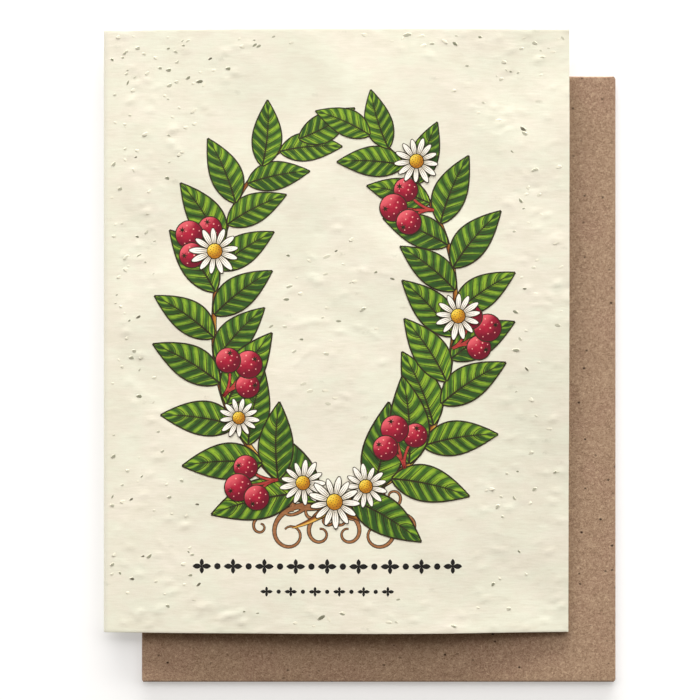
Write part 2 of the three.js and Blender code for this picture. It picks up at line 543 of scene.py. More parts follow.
@dataclass(frozen=True)
class SeededPaper:
    """Off-white handmade paper: fine level fibres, clouds of two tints, faint sunken flecks, and painted
    shade along the fold.
    """

    warm: Colour = linear(237, 231, 216)
    cool: Colour = linear(232, 232, 214)
    shade: Colour = linear(219, 215, 195)
    fleck: Colour = linear(168, 167, 146)
    # Painted shade: the colour that the paper darkens to at the fold's outer rim, where the sheet turns
    # away from the light.
    fold: Colour = linear(206, 205, 193)
    fold_shade_reach: tuple[float, float] = (-58.3, -59.4)
    bump: float = 0.034 * MM

    def build(self) -> Material:
        """Makes the material."""
        g = ShaderGraph("seeded_paper")
        cloud = g.noise((0.07, 0.1, 0.07), 2)
        patch = g.noise((0.16, 0.3, 0.2), 2)
        fibre = g.noise(FIBRE, 5)
        strand = g.noise((0.22, 1.3, 1.0), 4, turn=0.35)
        grain = g.noise((3.2, 3.2, 3.2), 3)
        colour = g.mix((cloud * 0.6 + patch * 0.4).between(0.42, 0.58), self.warm, self.cool)
        tone = patch * 0.35 + fibre * 0.35 + strand * 0.2 + grain * 0.1
        colour = g.mix(tone.between(0.6, 0.34) * 0.8, colour, self.shade)
        edge = g.noise((1.6, 1.6, 1.6), 2) * 0.4
        distance, pick = g.cells((0.16, 0.3, 0.3), turn=0.2)
        speck = (distance + edge).between(0.38, 0.22) * pick.between(0.62, 1.0)
        colour = g.mix(speck * 0.4, colour, self.fleck)
        # Painted shade: the paper grows darker out towards the fold's rim, where less light falls.
        place = g.node("ShaderNodeSeparateXYZ", {"Vector": g.place((1.0, 1.0, 1.0))})
        colour = g.mix(g.signal(place, "X").between(*self.fold_shade_reach) * 0.5, colour, self.fold)
        height = fibre * 0.45 + strand * 0.25 + grain * 0.2 + speck * 0.4
        return g.finish(colour, 0.9, height, self.bump, 0.2)


@dataclass(frozen=True)
class KraftPaper:
    """Brown kraft paper: finely grained, with short curled pale fibres and a few dark specks."""

    brown: Colour = linear(159, 132, 108)
    red: Colour = linear(157, 127, 106)
    dark: Colour = linear(122, 96, 76)
    light: Colour = linear(192, 166, 139)
    speck: Colour = linear(62, 44, 34)
    bump: float = 0.02 * MM

    def build(self) -> Material:
        """Makes the material."""
        g = ShaderGraph("kraft_paper")
        cloud = g.noise((0.09, 0.09, 0.09), 2)
        mottle = g.noise((0.7, 0.55, 0.6), 3, turn=0.6)
        grain = g.noise((1.6, 1.9, 1.7), 3, turn=-0.3)
        fine = g.noise((4.4, 4.4, 4.4), 2)
        curl = (g.noise((1.1, 0.8, 1.0), 1, turn=0.5) - 0.5).abs().between(0.03, 0.005)
        loop = (g.noise((0.7, 1.2, 1.0), 1, turn=-0.4) - 0.5).abs().between(0.028, 0.005)
        weave = mottle * 0.18 + grain * 0.3 + fine * 0.52
        colour = g.mix(cloud.between(0.45, 0.62) * 0.7, self.brown, self.red)
        colour = g.mix(weave.between(0.5, 0.37), colour, self.dark)
        colour = g.mix(weave.between(0.54, 0.66), colour, self.light)
        colour = g.mix((curl + loop) * grain.between(0.4, 0.6) * 0.75, colour, self.light)
        distance, pick = g.cells((0.75, 0.9, 0.8), turn=0.4)
        spot = (distance + fine * 0.3).between(0.46, 0.3) * pick.between(0.9, 0.97)
        colour = g.mix(spot, colour, self.speck)
        return g.finish(colour, 0.82, weave, self.bump, 0.25)


@dataclass(frozen=True)
class DriedGum:
    """A band of dried gum on kraft paper: thin, a little glossy, brushed on along the edge."""

    tint: Colour = linear(176, 150, 118)
    thick: Colour = linear(150, 122, 92)
    bump: float = 0.01 * MM

    def build(self) -> Material:
        """Makes the material."""
        g = ShaderGraph("dried_gum")
        brush = g.noise((1.4, 0.08, 0.5), 3)
        colour = g.mix(brush.between(0.35, 0.65), self.tint, self.thick)
        return g.finish(colour, 0.3 + brush * 0.15, brush, self.bump, 0.5)


@dataclass(frozen=True)
class FleckFinish:
    """A seed or plant fleck in the paper: bare on its crest, veiled by fibres at its rim."""

    veil: Colour = linear(232, 228, 208)
    green: Colour = linear(134, 136, 114)
    brown: Colour = linear(104, 101, 85)
    browned: tuple[float, float] = (0.62, 0.95)
    crest: tuple[float, float] = (0.26, 0.7)
    seen: tuple[float, float] = (0.2, 0.6)
    bump: float = 0.01 * MM

    def build(self) -> Material:
        """Makes the material."""
        g = ShaderGraph("plant_fleck")
        rise, tone = g.attribute("rise"), g.attribute("tone")
        grain = g.noise((3.5, 3.5, 3.5), 3)
        body = g.mix(tone.between(*self.browned), self.green, self.brown)
        bare = (rise + grain * 0.5 - 0.25).between(*self.crest) * tone.between(*self.seen)
        return g.finish(g.mix(bare, self.veil, body), 0.85, grain, self.bump, 0.2)


@dataclass(frozen=True)
class Ink:
    """Ink in one colour, a little worn where the paper stood up under the press."""

    name: str
    colour: Colour
    worn: Colour

    def build(self) -> Material:
        """Makes the material."""
        g = InkGraph(self.name)
        wear = g.noise((1.1, 1.1, 1.1), 3)
        share = (g.fibre * 0.5 + wear * 0.5).between(0.45, 0.75)
        return g.dried(g.mix(share * 0.6, self.colour, self.worn))


@dataclass(frozen=True)
class LeafInk:
    """Leaf green: light between the side veins, dark along them and in the lee half."""

    light: Colour = linear(150, 184, 52)
    green: Colour = linear(92, 140, 44)
    dark: Colour = linear(48, 82, 34)
    side_veins: float = 7.0
    sweep: float = 0.16

    def build(self) -> Material:
        """Makes the material."""
        g = InkGraph("print_leaf_green")
        along, across = g.uv()
        tone = g.attribute("tone")
        offset = across - 0.5
        width = offset.abs() * 2
        blot = g.noise((0.5, 0.5, 0.5), 3)
        vein = ((along - width * self.sweep) * self.side_veins) % 1.0
        bright = vein.between(0.08, 0.55) * vein.between(1.0, 0.6)
        lee = offset.between(-0.12, 0.12)
        brushed = (bright * 0.75 + blot * 0.7 - 0.35 - lee * 0.3 + tone * 0.3).between(0.0, 0.85)
        colour = g.mix(brushed, self.dark, self.green)
        gleam = (bright * 0.9 + blot * 0.8 - 0.62 - lee * 0.15 + tone * 0.25).between(0.2, 0.8)
        colour = g.mix(gleam, colour, self.light)
        rib = width.between(0.16, 0.02) * 0.5 + width.between(0.75, 1.0) * 0.45
        return g.dried(g.mix(rib + g.fibre * 0.12, colour, self.dark))


@dataclass(frozen=True)
class RoundInk:
    """Ink on a round shape, shaded outwards from its middle and from a lit to a lee side."""

    name: str
    light: Colour
    colour: Colour
    dark: Colour

    def build(self) -> Material:
        """Makes the material."""
        g = InkGraph(self.name)
        u, v = g.uv()
        x, y = u - 0.5, v - 0.5
        radius = (x * x + y * y) ** 0.5
        lit = (x * -0.6 + y * 0.8) * 2
        blot = g.noise((1.3, 1.3, 1.3), 3)
        shade = (radius * 1.1 - lit * 0.55 + blot * 0.5 + g.fibre * 0.15).between(0.3, 0.95)
        colour = g.mix(shade, self.colour, self.dark)
        gleam = (lit * 0.9 - radius * 0.5 + blot * 0.4).between(0.28, 0.7)
        return g.dried(g.mix(gleam, colour, self.light))


@dataclass(frozen=True)
class PetalInk:
    """White petals: bare towards the tip, with a warm shadow towards the flower's heart."""

    white: Colour = linear(252, 249, 240)
    shadow: Colour = linear(206, 190, 158)

    def build(self) -> Material:
        """Makes the material."""
        g = InkGraph("print_petal_white")
        along, across = g.uv()
        heart = along.between(0.5, 0.05) * 0.75
        crease = (across - 0.5).abs().between(0.3, 0.5) * 0.25
        return g.dried(g.mix(heart + crease + g.fibre * 0.08, self.white, self.shadow))


@dataclass(frozen=True)
class StudioFloor:
    """The plain pale ground, a little lit from below so that the shadows on it stay pale."""

    white: Colour = (0.67, 0.67, 0.67)
    shade: Colour = (0.66, 0.66, 0.66)
    glow: float = 0.36

    def build(self) -> Material:
        """Makes the material."""
        g = ShaderGraph("studio_floor")
        drift = g.noise((0.004, 0.004, 0.004), 1)
        return g.finish(g.mix(drift, self.white, self.shade), 0.9, specular=0.1, glow=self.glow)


# ----------------------------------------------------------------------------------------
# Meshes
# ----------------------------------------------------------------------------------------


def new_mesh(name: str, points: Array, faces: Sequence[Sequence[int]]) -> Mesh:
    """Makes a mesh datablock from points in metres and faces."""
    mesh = bpy.data.meshes.new(name)
    mesh.from_pydata(points.tolist(), [], faces)
    mesh.update()
    return mesh


def add_piece(name: str, mesh: Mesh, material: Material) -> Object:
    """Adds an object for a mesh to the scene, shaded smooth.

    Args:
        name: The piece's name.
        mesh: Its mesh, with the place in its points.
        material: Its material.

    Returns:
        The object, at the origin.
    """
    piece = bpy.data.objects.new(name, mesh)
    bpy.context.scene.collection.objects.link(piece)
    mesh.materials.append(material)
    mesh.polygons.foreach_set("use_smooth", [True] * len(mesh.polygons))
    return piece


def points_of(mesh: Mesh) -> Array:
    """A mesh's points as rows."""
    flat = np.empty(len(mesh.vertices) * 3)
    mesh.vertices.foreach_get("co", flat)
    return flat.reshape(-1, 3)


def set_points(mesh: Mesh, points: Array) -> None:
    """Moves a mesh's points."""
    mesh.vertices.foreach_set("co", points.astype(np.float32).ravel())
    mesh.update()


def numbers_of(mesh: Mesh, name: str) -> Array:
    """A number that the mesh holds for each point, or 0 where it holds none."""
    values = np.zeros(len(mesh.vertices), np.float32)
    if name in mesh.attributes:
        mesh.attributes[name].data.foreach_get("value", values)
    return values.astype(float)


def keep_numbers(mesh: Mesh, name: str, values: Array) -> None:
    """Keeps a number on each point of a mesh, under a name."""
    mesh.attributes.new(name, "FLOAT", "POINT").data.foreach_set("value", values.astype(np.float32))


def keep_map(mesh: Mesh, places: Array) -> None:
    """Gives a mesh the UV map that its shading reads, from two numbers for each point."""
    corners = np.empty(len(mesh.loops), np.int32)
    mesh.loops.foreach_get("vertex_index", corners)
    layer = mesh.uv_layers.new(name=SHAPE_MAP)
    layer.data.foreach_set("uv", places[corners].astype(np.float32).ravel())


def point_mesh(name: str, places: Array, **numbers: Array) -> Mesh:
    """A mesh of loose points that holds numbers for each of them, for a tree to read."""
    mesh = new_mesh(name, places, [])
    for key, values in numbers.items():
        keep_numbers(mesh, key, np.asarray(values, float))
    return mesh


def grid_faces(columns: int, rows: int, first: int = 0) -> list[tuple[int, int, int, int]]:
    """Faces of a grid of points that runs column by column, counted from a first point."""
    corner = [first + i * rows + j for i in range(columns - 1) for j in range(rows - 1)]
    return [(c, c + rows, c + rows + 1, c + 1) for c in corner]


def report(piece: Object, body: str) -> None:
    """Logs a finished piece."""
    LOG.info("%s: %d faces on %s", piece.name, len(piece.data.polygons), body)


def ride(piece: Object, body: Body, slot: Slot, *nodes: str) -> None:
    """Puts a piece on a body, in place of CAD nodes if any are named."""
    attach(piece, body.value)
    if nodes:
        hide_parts(*nodes)
    report(piece, body.value)


def bend(piece: Object, child: Body, slot: Slot, node: str, upwards: bool) -> None:
    """Puts a fold's piece in place of a CAD node, with its place baked into its mesh, and logs it.

    Args:
        piece: The fold's piece.
        child: The body that turns.
        slot: The material slot. It is not used.
        node: The CAD node of the fold.
        upwards: Whether the turning body joins the fold at its top.
    """
    low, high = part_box(node)
    start, end = ((low.x, 0, low.z), (low.x, 0, high.z))
    if not upwards:
        start, end = end, start
    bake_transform(piece)
    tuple(start)
    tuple(end)
    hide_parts(node)
    report(piece, f"{Body.SET.value} and {child.value}")


# ----------------------------------------------------------------------------------------
# Folded sheets
# ----------------------------------------------------------------------------------------


def smooth(share: Array) -> Array:
    """Goes from 0 at 0 to 1 at 1 with no kink at either end, and stays there beyond them."""
    kept = np.clip(share, 0, 1)
    return kept**2 * (3 - 2 * kept)


@dataclass
class SheetPath:
    """A folded sheet seen end on: its outer face as runs and folds, the outside on the left."""

    x: float
    z: float
    heading: float = math.pi
    runs: list[tuple[float, float, float, float, float]] = field(default_factory=list)
    length: float = 0.0

    def straight(self, length: float) -> SheetPath:
        """Goes on straight for a length."""
        return self._add(length, 0.0)

    def fold(self, radius: float) -> SheetPath:
        """Turns back on itself, to the right, with the given outer radius."""
        return self._add(math.pi * radius, -1 / radius)

    def _add(self, length: float, curl: float) -> SheetPath:
        """Adds a run of a length with a curl, the turn for each metre."""
        self.runs.append((self.length, self.x, self.z, self.heading, curl))
        x, z, heading = self._follow(np.array([length]), self.x, self.z, self.heading, curl)
        self.x, self.z, self.heading = float(x[0]), float(z[0]), float(heading[0])
        self.length += length
        return self

    @staticmethod
    def _follow(u: Array, x: float, z: float, heading: float,
                curl: float) -> tuple[Array, Array, Array]:
        """Where a run gets to after each length u."""
        if curl == 0:
            return x + u * math.cos(heading), z + u * math.sin(heading), np.full(len(u), heading)
        angle = heading + u * curl
        side = (np.sin(angle) - math.sin(heading)) / curl
        rise = (math.cos(heading) - np.cos(angle)) / curl
        return x + side, z + rise, angle

    def start(self, run: int) -> float:
        """How far along the sheet a run starts. The number of runs stands for the sheet's end."""
        return self.length if run == len(self.runs) else self.runs[run][0]

    def at(self, s: Array) -> tuple[Array, Array, Array, Array]:
        """The outer face at distances along the sheet.

        Args:
            s: The distances.

        Returns:
            X, Z and the outward normal's X and Z.
        """
        x, z, heading = np.empty_like(s), np.empty_like(s), np.empty_like(s)
        for index, (begin, *place) in enumerate(self.runs):
            here = s >= begin if index else np.full(len(s), True)
            x[here], z[here], heading[here] = self._follow(s[here] - begin, *place)
        return x, z, -np.sin(heading), np.cos(heading)


@dataclass(frozen=True)
class Relief:
    """How far a sheet stands off its plain shape: waves, and swells over what lies in it.

    Places are measured along the sheet from the stretch's beginning, and across from its middle.
    """

    wave: float = 0.0
    swell: float = 0.0
    swells: int = 0
    seed: int = 1
    waves: int = 14
    shortest: float = 12 * MM
    longest: float = 48 * MM
    narrow: float = 0.35 * MM
    wide: float = 1.3 * MM
    level: float = 0.45
    area: tuple[float, float] = (108 * MM, 140 * MM)
    fade: float = 5 * MM

    def heights(self, u: Array, v: Array, quiet: Array | float = 0.0) -> Array:
        """Heights in metres.

        Args:
            u: Distances along the sheet.
            v: Distances across it.
            quiet: Where the swells are kept down, from 0 to 1.

        Returns:
            A height for each place.
        """
        draw = np.random.default_rng(self.seed)
        waves = np.zeros(len(u))
        for _ in range(self.waves if self.wave else 0):
            length = self.shortest * (self.longest / self.shortest) ** draw.random()
            angle, phase = draw.random(2) * 2 * np.pi
            ripple = np.sin(2 * np.pi / length * (u * np.cos(angle) + v * np.sin(angle)) + phase)
            waves += self.wave * ripple * length / self.longest
        bumps = np.zeros(len(u))
        for _ in range(self.swells):
            middle_u, middle_v = draw.random() * self.area[0], (draw.random() - 0.5) * self.area[1]
            thin = draw.uniform(self.narrow, self.narrow * 2)
            long = draw.uniform(self.narrow * 2, self.wide)
            turn = draw.normal(0, self.level)
            height = self.swell * draw.uniform(0.2, 1.0) * draw.choice((1, 1, 1, -0.6))
            near = (np.abs(u - middle_u) < 3 * long) & (np.abs(v - middle_v) < 3 * long)
            du, dv = u[near] - middle_u, v[near] - middle_v
            along = (du * np.cos(turn) + dv * np.sin(turn)) / long
            over = (dv * np.cos(turn) - du * np.sin(turn)) / thin
            bumps[near] += height * np.exp(-(along**2 + over**2))
        return (waves + bumps * (1 - quiet)) * smooth(u / self.fade)


FLAT = Relief()
Span = Callable[[Array], tuple[Array, Array]]


def even_span(low: float, high: float) -> Span:
    """A sheet's two side edges where they are straight."""
    return lambda s: (np.full(len(s), low), np.full(len(s), high))


def nothing(u: Array, _v: Array) -> Array:
    """Nothing at any place: no lift, or a relief that is kept down nowhere."""
    return np.zeros(len(u))


@dataclass(frozen=True)
class Slab:
    """A stretch of a folded sheet as a closed fine mesh, its cut edges a little rounded.

    The path runs along X and the sheet spans Y. A turned slab's path runs along Y and it spans -X.
    """

    path: SheetPath
    begin: float
    end: float
    thickness: float
    span: Span
    outer: Relief = FLAT
    inner: Relief = FLAT
    lift: Callable[[Array, Array], Array] = nothing
    quiet: Callable[[Array, Array], Array] = nothing
    inner_quiet: Callable[[Array, Array], Array] = nothing
    step: float = 1.0 * MM
    fold_step: float = 0.08 * MM
    cut: tuple[bool, bool] = (True, True)
    cut_sides: bool = True
    end_stations: tuple[float, ...] = ()
    turned: bool = False
    rounding: float = 0.12 * MM
    softening: float = 0.07 * MM
    edge_shares: tuple[float, ...] = (0.12, 0.4, 1.0)

    def drawn_in(self, distance: Array) -> Array:
        """How far each face is drawn in at a distance from a cut edge."""
        share = np.clip(1 - distance / self.rounding, 0, 1)
        return self.softening * (1 - np.sqrt(1 - share**2))

    def along(self) -> Array:
        """The places along the sheet where the mesh has points."""
        places = [self.end - distance for distance in self.end_stations]
        edges = [self.path.start(run) for run in range(len(self.path.runs) + 1)]
        for low, high, run in zip(edges, edges[1:], self.path.runs):
            low, high = max(low, self.begin), min(high, self.end)
            if high > low:
                step = self.fold_step if run[-1] else self.step
                places += list(np.linspace(low, high, max(2, round((high - low) / step) + 1)))
        close = [self.rounding * share for share in self.edge_shares]
        places += [self.begin + d for d in close if self.cut[0]]
        places += [self.end - d for d in close if self.cut[1]]
        return np.unique(np.round(places, 9))

    def across(self, width: float) -> Array:
        """The shares across the sheet, 0 to 1, where the mesh has points."""
        places = list(np.linspace(0, 1, max(2, round(width / self.step) + 1)))
        shares = self.edge_shares if self.cut_sides else ()
        close = [self.rounding * share / width for share in shares]
        return np.array(sorted(places + close + [1 - d for d in close]))

    def face(self, s: Array, w: Array, outside: bool) -> Array:
        """Points of the outer or the inner face.

        Args:
            s: Distances along the sheet.
            w: Distances across it.
            outside: Whether the outer face is meant.

        Returns:
            One point for each place.
        """
        x, z, nx, nz = self.path.at(s)
        low, high = self.span(s)
        drawn = np.zeros(len(s))
        if self.cut_sides:
            drawn = self.drawn_in(np.minimum(w - low, high - w))
        if self.cut[0]:
            drawn = np.maximum(drawn, self.drawn_in(s - self.begin))
        if self.cut[1]:
            drawn = np.maximum(drawn, self.drawn_in(self.end - s))
        relief, quiet = (self.outer, self.quiet) if outside else (self.inner, self.inner_quiet)
        u, v = s - self.begin, w - (low + high) / 2
        off = relief.heights(u, v, quiet(u, v)) + (-drawn if outside else drawn - self.thickness)
        x, z = x + nx * off, z + nz * off + self.lift(s, w)
        return np.stack([-w, x, z] if self.turned else [x, w, z], 1)

    def mesh(self, name: str) -> Mesh:
        """Makes the mesh.

        Args:
            name: The mesh's name.

        Returns:
            A closed mesh with its faces pointing out.
        """
        along = self.along()
        low, high = self.span(along)
        across = self.across(float(np.max(high - low)))
        columns, rows = len(along), len(across)
        s = np.repeat(along, rows)
        w = (low[:, None] + (high - low)[:, None] * across).ravel()
        count = columns * rows
        points = np.concatenate([self.face(s, w, True), self.face(s, w, False)])
        faces = grid_faces(columns, rows)
        faces += [tuple(count + i for i in reversed(face)) for face in faces]
        first, last = range(rows), range(count - rows, count)
        left, right = range(0, count, rows), range(rows - 1, count, rows)
        for rim, forward in ((first, True), (last, False), (left, False), (right, True)):
            for a, b in zip(rim, rim[1:]):
                a, b = (a, b) if forward else (b, a)
                faces.append((a, b, count + b, count + a))
        mesh = new_mesh(name, points, faces)
        joined = zip((first, last, left, right), (*self.cut, self.cut_sides, self.cut_sides))
        self.sharpen(mesh, [rim for rim, cut in joined if not cut], count)
        return mesh

    @staticmethod
    def sharpen(mesh: Mesh, rims: Iterable[range], count: int) -> None:
        """Keeps the shading of both faces clear of the rims where the sheet goes on in another piece.

        Args:
            mesh: The mesh.
            rims: The rims, as points of the outer face.
            count: How many points each face has.
        """
        ends = np.empty(len(mesh.edges) * 2, np.int32)
        mesh.edges.foreach_get("vertices", ends)
        ends = ends.reshape(-1, 2)
        sharp = np.zeros(len(ends), bool)
        for rim in rims:
            for first in (0, count):
                sharp |= np.isin(ends, np.array(rim) + first).all(1)
        mesh.attributes.new("sharp_edge", "BOOLEAN", "EDGE").data.foreach_set("value", sharp)


@dataclass(frozen=True)
class WreathPlan:
    """The wreath's place from the middle of the card, and the size of its middle line."""

    x: float = -0.4 * MM
    y: float = 3.6 * MM
    half_width: float = 28 * MM
    half_length: float = 43 * MM
    reach: float = 0.55
    foot_half: float = 33 * MM
    foot_low: float = -63 * MM
    foot_high: float = -38 * MM
    edge: float = 3 * MM

    def covers(self, x: Array, y: Array) -> Array:
        """Whether the print reaches places on the card, from 0 to 1, with a soft edge."""
        ring = np.hypot((x - self.x) / self.half_width, (y - self.y) / self.half_length)
        leafy = np.clip((self.reach - np.abs(ring - 1)) / (self.reach * 0.3), 0, 1)
        within = np.minimum(y - self.foot_low, self.foot_high - y)
        inside = np.minimum(self.foot_half - np.abs(x), within)
        return np.maximum(leafy, np.clip(inside / self.edge, 0, 1))


@dataclass(frozen=True)
class SeedScatter:
    """Where the seeds lie in the paper: the even scatter, never repeating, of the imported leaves."""

    ratio: float = 1.1673039782614187
    margin: float = 2.5 * MM
    shortest: float = 0.45 * MM
    longest: float = 1.15 * MM

    def draw(self, count: int, first: int, reach: float,
             height: float) -> tuple[Array, Array, Array, Array]:
        """Draws seeds for one face of a leaf.

        Args:
            count: How many seeds.
            first: The number of the first one in the scatter.
            reach: The leaf's reach from its fold.
            height: The leaf's height.

        Returns:
            Distances from the fold, distances from the middle, turns and half lengths.
        """
        number = np.arange(first, first + count)
        across, up, turn, size = ((0.5 + number / self.ratio**power) % 1 for power in (1, 2, 3, 4))
        x = self.margin + (reach - 2 * self.margin) * across
        y = (height - 2 * self.margin) * (up - 0.5)
        return x, y, math.pi * turn, self.shortest + (self.longest - self.shortest) * size**2


def seed_template() -> Object:
    """A lens of unit half length that holds how high each of its points is."""
    rings, sides = 5, 12
    points, faces = [(0.0, 0.0, 1.0)], []
    for ring in range(1, rings + 1):
        fall = math.pi * ring / (rings + 1)
        for side in range(sides):
            angle = 2 * math.pi * side / sides
            out = math.sin(fall)
            points.append((out * math.cos(angle), out * math.sin(angle), math.cos(fall)))
    points.append((0.0, 0.0, -1.0))
    low = len(points) - 1
    for side in range(sides):
        after = (side + 1) % sides
        faces.append((0, 1 + side, 1 + after))
        faces.append((low, low - sides + after, low - sides + side))
        for ring in range(rings - 1):
            base = 1 + ring * sides
            faces.append((base + side, base + sides + side, base + sides + after, base + after))
    mesh = new_mesh("seed_template", np.array(points), faces)
    keep_numbers(mesh, "rise", np.abs(np.array(points)[:, 2]))
    mesh.polygons.foreach_set("use_smooth", [True] * len(mesh.polygons))
    return bpy.data.objects.new("seed_template", mesh)


class Face(Enum):
    """The faces that seeds show on: the pieces' name, the body, and 1 for up or -1 for down."""

    FRONT = ("card_front", Body.FRONT, 1)
    FRONT_INNER = ("card_front_inner", Body.FRONT, -1)
    BACK_INNER = ("card_back", Body.SET, 1)


@dataclass
class CardSheet:
    """The card: back leaf, fold and front leaf as one sheet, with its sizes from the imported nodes."""

    leaf: float = 0.5 * MM
    rise: float = 2.5 * MM
    rise_power: float = 4.0
    sag_side: float = 0.9 * MM
    sag_corner: float = 1.85 * MM
    sag_along: float = 38 * MM
    sag_up: float = 85 * MM
    outer_seeds: int = 84
    inner_seeds: int = 32
    seed_swing: float = 0.42
    seed_slender: float = 0.42
    seed_height: float = 0.034 * MM
    seed_sink: float = 0.014 * MM
    flecks: int = 460
    inner_flecks: int = 420
    fleck_lean: float = 1.25
    fleck_height: float = 0.014 * MM
    fleck_sink: float = 0.005 * MM
    fleck_margin: float = 1.5 * MM
    fleck_turn: float = 0.4
    fleck_sizes: tuple[float, float] = (0.4 * MM, 1.1 * MM)
    fleck_tone: float = 0.6
    seed_tones: tuple[float, float] = (0.25, 1.0)
    seeds_off_print: float = 0.5
    flecks_off_print: float = 0.3
    outer: Relief = Relief(wave=0.045 * MM, swell=0.115 * MM, swells=1100, seed=11)
    inner: Relief = Relief(wave=0.03 * MM, swell=-0.09 * MM, swells=1100, seed=12)
    back_inner: Relief = Relief(swell=-0.09 * MM, swells=1100, seed=13)
    wreath: WreathPlan = WreathPlan()

    def __post_init__(self) -> None:
        """Reads the card's place and size from the fold and the back leaf."""
        fold_low, fold_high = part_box("card_fold")
        back_low, back_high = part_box("card_back_leaf")
        self.radius = (fold_high.z - fold_low.z) / 2
        self.reach = back_high.x - fold_high.x
        self.low, self.high = back_low.y, back_high.y
        self.middle = (self.low + self.high) / 2
        self.fold_x = fold_high.x
        self.centre_x = (self.fold_x - self.radius + back_high.x) / 2
        self.path = SheetPath(back_high.x, fold_low.z)
        self.path.straight(self.reach).fold(self.radius).straight(self.reach)
        self.front_start = self.path.start(2)

    def lift(self, s: Array, w: Array) -> Array:
        """How high the front leaf stands over a closed one, less where its free edge sags."""
        share = np.clip((s - self.front_start) / self.reach, 0, 1)
        side = smooth(1 - (1 - share) * self.reach / self.sag_along)
        corner = smooth(1 - (w - self.low) / self.sag_up)
        risen = self.rise * (1 - (1 - share) ** self.rise_power)
        return risen - side * (self.sag_side + self.sag_corner * corner)

    def printed(self, u: Array, v: Array) -> Array:
        """Where the front is printed, from 0 to 1, at distances from the fold and from the middle."""
        return self.wreath.covers(u + self.fold_x - self.centre_x, v)

    def front_height(self, x: Array, y: Array) -> Array:
        """The height of the front leaf's outer face at places seen from above."""
        u, v = x - self.fold_x, y - self.middle
        s = u + self.front_start
        _, z, _, nz = self.path.at(s)
        return z + nz * self.outer.heights(u, v, self.printed(u, v)) + self.lift(s, y)

    def by_fold(self, u: Array, _v: Array) -> Array:
        """How near the fold the back leaf is, from 0 to 1, at distances from its free edge."""
        return smooth(1 - (self.reach - u) / self.back_inner.fade)

    def height(self, face: Face, x: Array, y: Array) -> Array:
        """The height of one of the card's faces at places seen from above."""
        if face is Face.FRONT:
            return self.front_height(x, y)
        u, v = x - self.fold_x, y - self.middle
        if face is Face.BACK_INNER:
            s = self.reach - u
            return self.path.at(s)[1] + self.leaf - self.back_inner.heights(s, v, self.by_fold(s, v))
        s = u + self.front_start
        return self.path.at(s)[1] - self.leaf + self.inner.heights(u, v) + self.lift(s, y)

    def slab(self, run: int) -> Slab:
        """One stretch of the sheet: 0 is the back leaf, 1 the fold and 2 the front leaf."""
        return Slab(
            path=self.path,
            begin=self.path.start(run),
            end=self.path.start(run + 1),
            thickness=self.leaf,
            span=even_span(self.low, self.high),
            outer=(FLAT, FLAT, self.outer)[run],
            inner=(self.back_inner, FLAT, self.inner)[run],
            lift=self.lift,
            quiet=(nothing, nothing, self.printed)[run],
            inner_quiet=(self.by_fold, nothing, nothing)[run],
            step=(0.62 * MM, 0.8 * MM, 0.62 * MM)[run],
            cut=(run == 0, run == 2),
        )

    def build(self, paper: Material) -> None:
        """Makes the three stretches of the card."""
        back = add_piece("card_back_paper", self.slab(0).mesh("card_back_paper"), paper)
        ride(back, Body.SET, Slot.SEEDED, "card_back_leaf")
        front = add_piece("card_front_paper", self.slab(2).mesh("card_front_paper"), paper)
        ride(front, Body.FRONT, Slot.SEEDED, "card_front_leaf")
        crease = add_piece("card_fold_paper", self.slab(1).mesh("card_fold_paper"), paper)
        bend(crease, Body.FRONT, Slot.SEEDED, "card_fold", upwards=True)

    def scatter_seeds(self, tree: AtPoints, finish: Material) -> None:
        """Puts seeds in the front leaf's two faces and the back leaf's inner face, clear of the print."""
        template = seed_template()
        first = 1
        for face, count in ((Face.FRONT, self.outer_seeds), (Face.FRONT_INNER, self.inner_seeds),
                            (Face.BACK_INNER, self.inner_seeds)):
            u, v, turn, size = SeedScatter().draw(count, first, self.reach, self.high - self.low)
            turn = (turn - math.pi / 2) * self.seed_swing
            tone = np.random.default_rng(first).uniform(*self.seed_tones, count)
            first += count
            clear = np.full(count, True)
            if face is Face.FRONT:
                clear = self.printed(u, v) < self.seeds_off_print
            self.scatter(face, "seeds", template, tree, finish, (self.seed_sink, self.seed_height),
                         u[clear], v[clear], turn=turn[clear], size=size[clear], tone=tone[clear])

    def scatter_flecks(self, tree: AtPoints, finish: Material) -> None:
        """Puts faint flecks in the same faces, the outer one's mostly near its fold and top."""
        template = seed_template()
        for face, count, lean, seed in ((Face.FRONT, self.flecks, self.fleck_lean, 5),
                                        (Face.FRONT_INNER, self.inner_flecks, 1.0, 6),
                                        (Face.BACK_INNER, self.inner_flecks, 1.0, 7)):
            draw = np.random.default_rng(seed)
            across, down = draw.random((2, count)) ** lean
            u = self.fleck_margin + (self.reach - 2 * self.fleck_margin) * across
            v = (self.high - self.low - 2 * self.fleck_margin) * (0.5 - down)
            if face is Face.FRONT:
                clear = self.printed(u, v) < self.flecks_off_print
                u, v = u[clear], v[clear]
            turn = draw.normal(0, self.fleck_turn, len(u))
            size = draw.uniform(*self.fleck_sizes, len(u))
            tone = draw.random(len(u)) * self.fleck_tone
            self.scatter(face, "flecks", template, tree, finish,
                         (self.fleck_sink, self.fleck_height), u, v,
                         turn=turn, size=size, tone=tone)

    def scatter(self, face: Face, kind: str, template: Object, tree: AtPoints,
                finish: Material, depth: tuple[float, float], u: Array, v: Array,
                **numbers: Array) -> None:
        """Puts one kind of bits in one face.

        Args:
            face: The face.
            kind: What the bits are, for the piece's name.
            template: The shape of one.
            tree: The tree that places them.
            finish: Their material.
            depth: How far their middles lie in the paper, and half their height.
            u: Their distances from the fold.
            v: Their distances from the middle.
            numbers: Their turns, sizes and tones.
        """
        name, body, side = face.value
        sink, height = depth
        x, y = u + self.fold_x, v + self.middle
        places = np.stack([x, y, self.height(face, x, y) - side * sink], 1)
        source = point_mesh(f"{name}_{kind}", places, **numbers)
        piece = tree.run(f"{name}_{kind}", source, template=template, material=finish,
                         slender=self.seed_slender, flat=height)
        ride(piece, body, Slot.SEEDED)


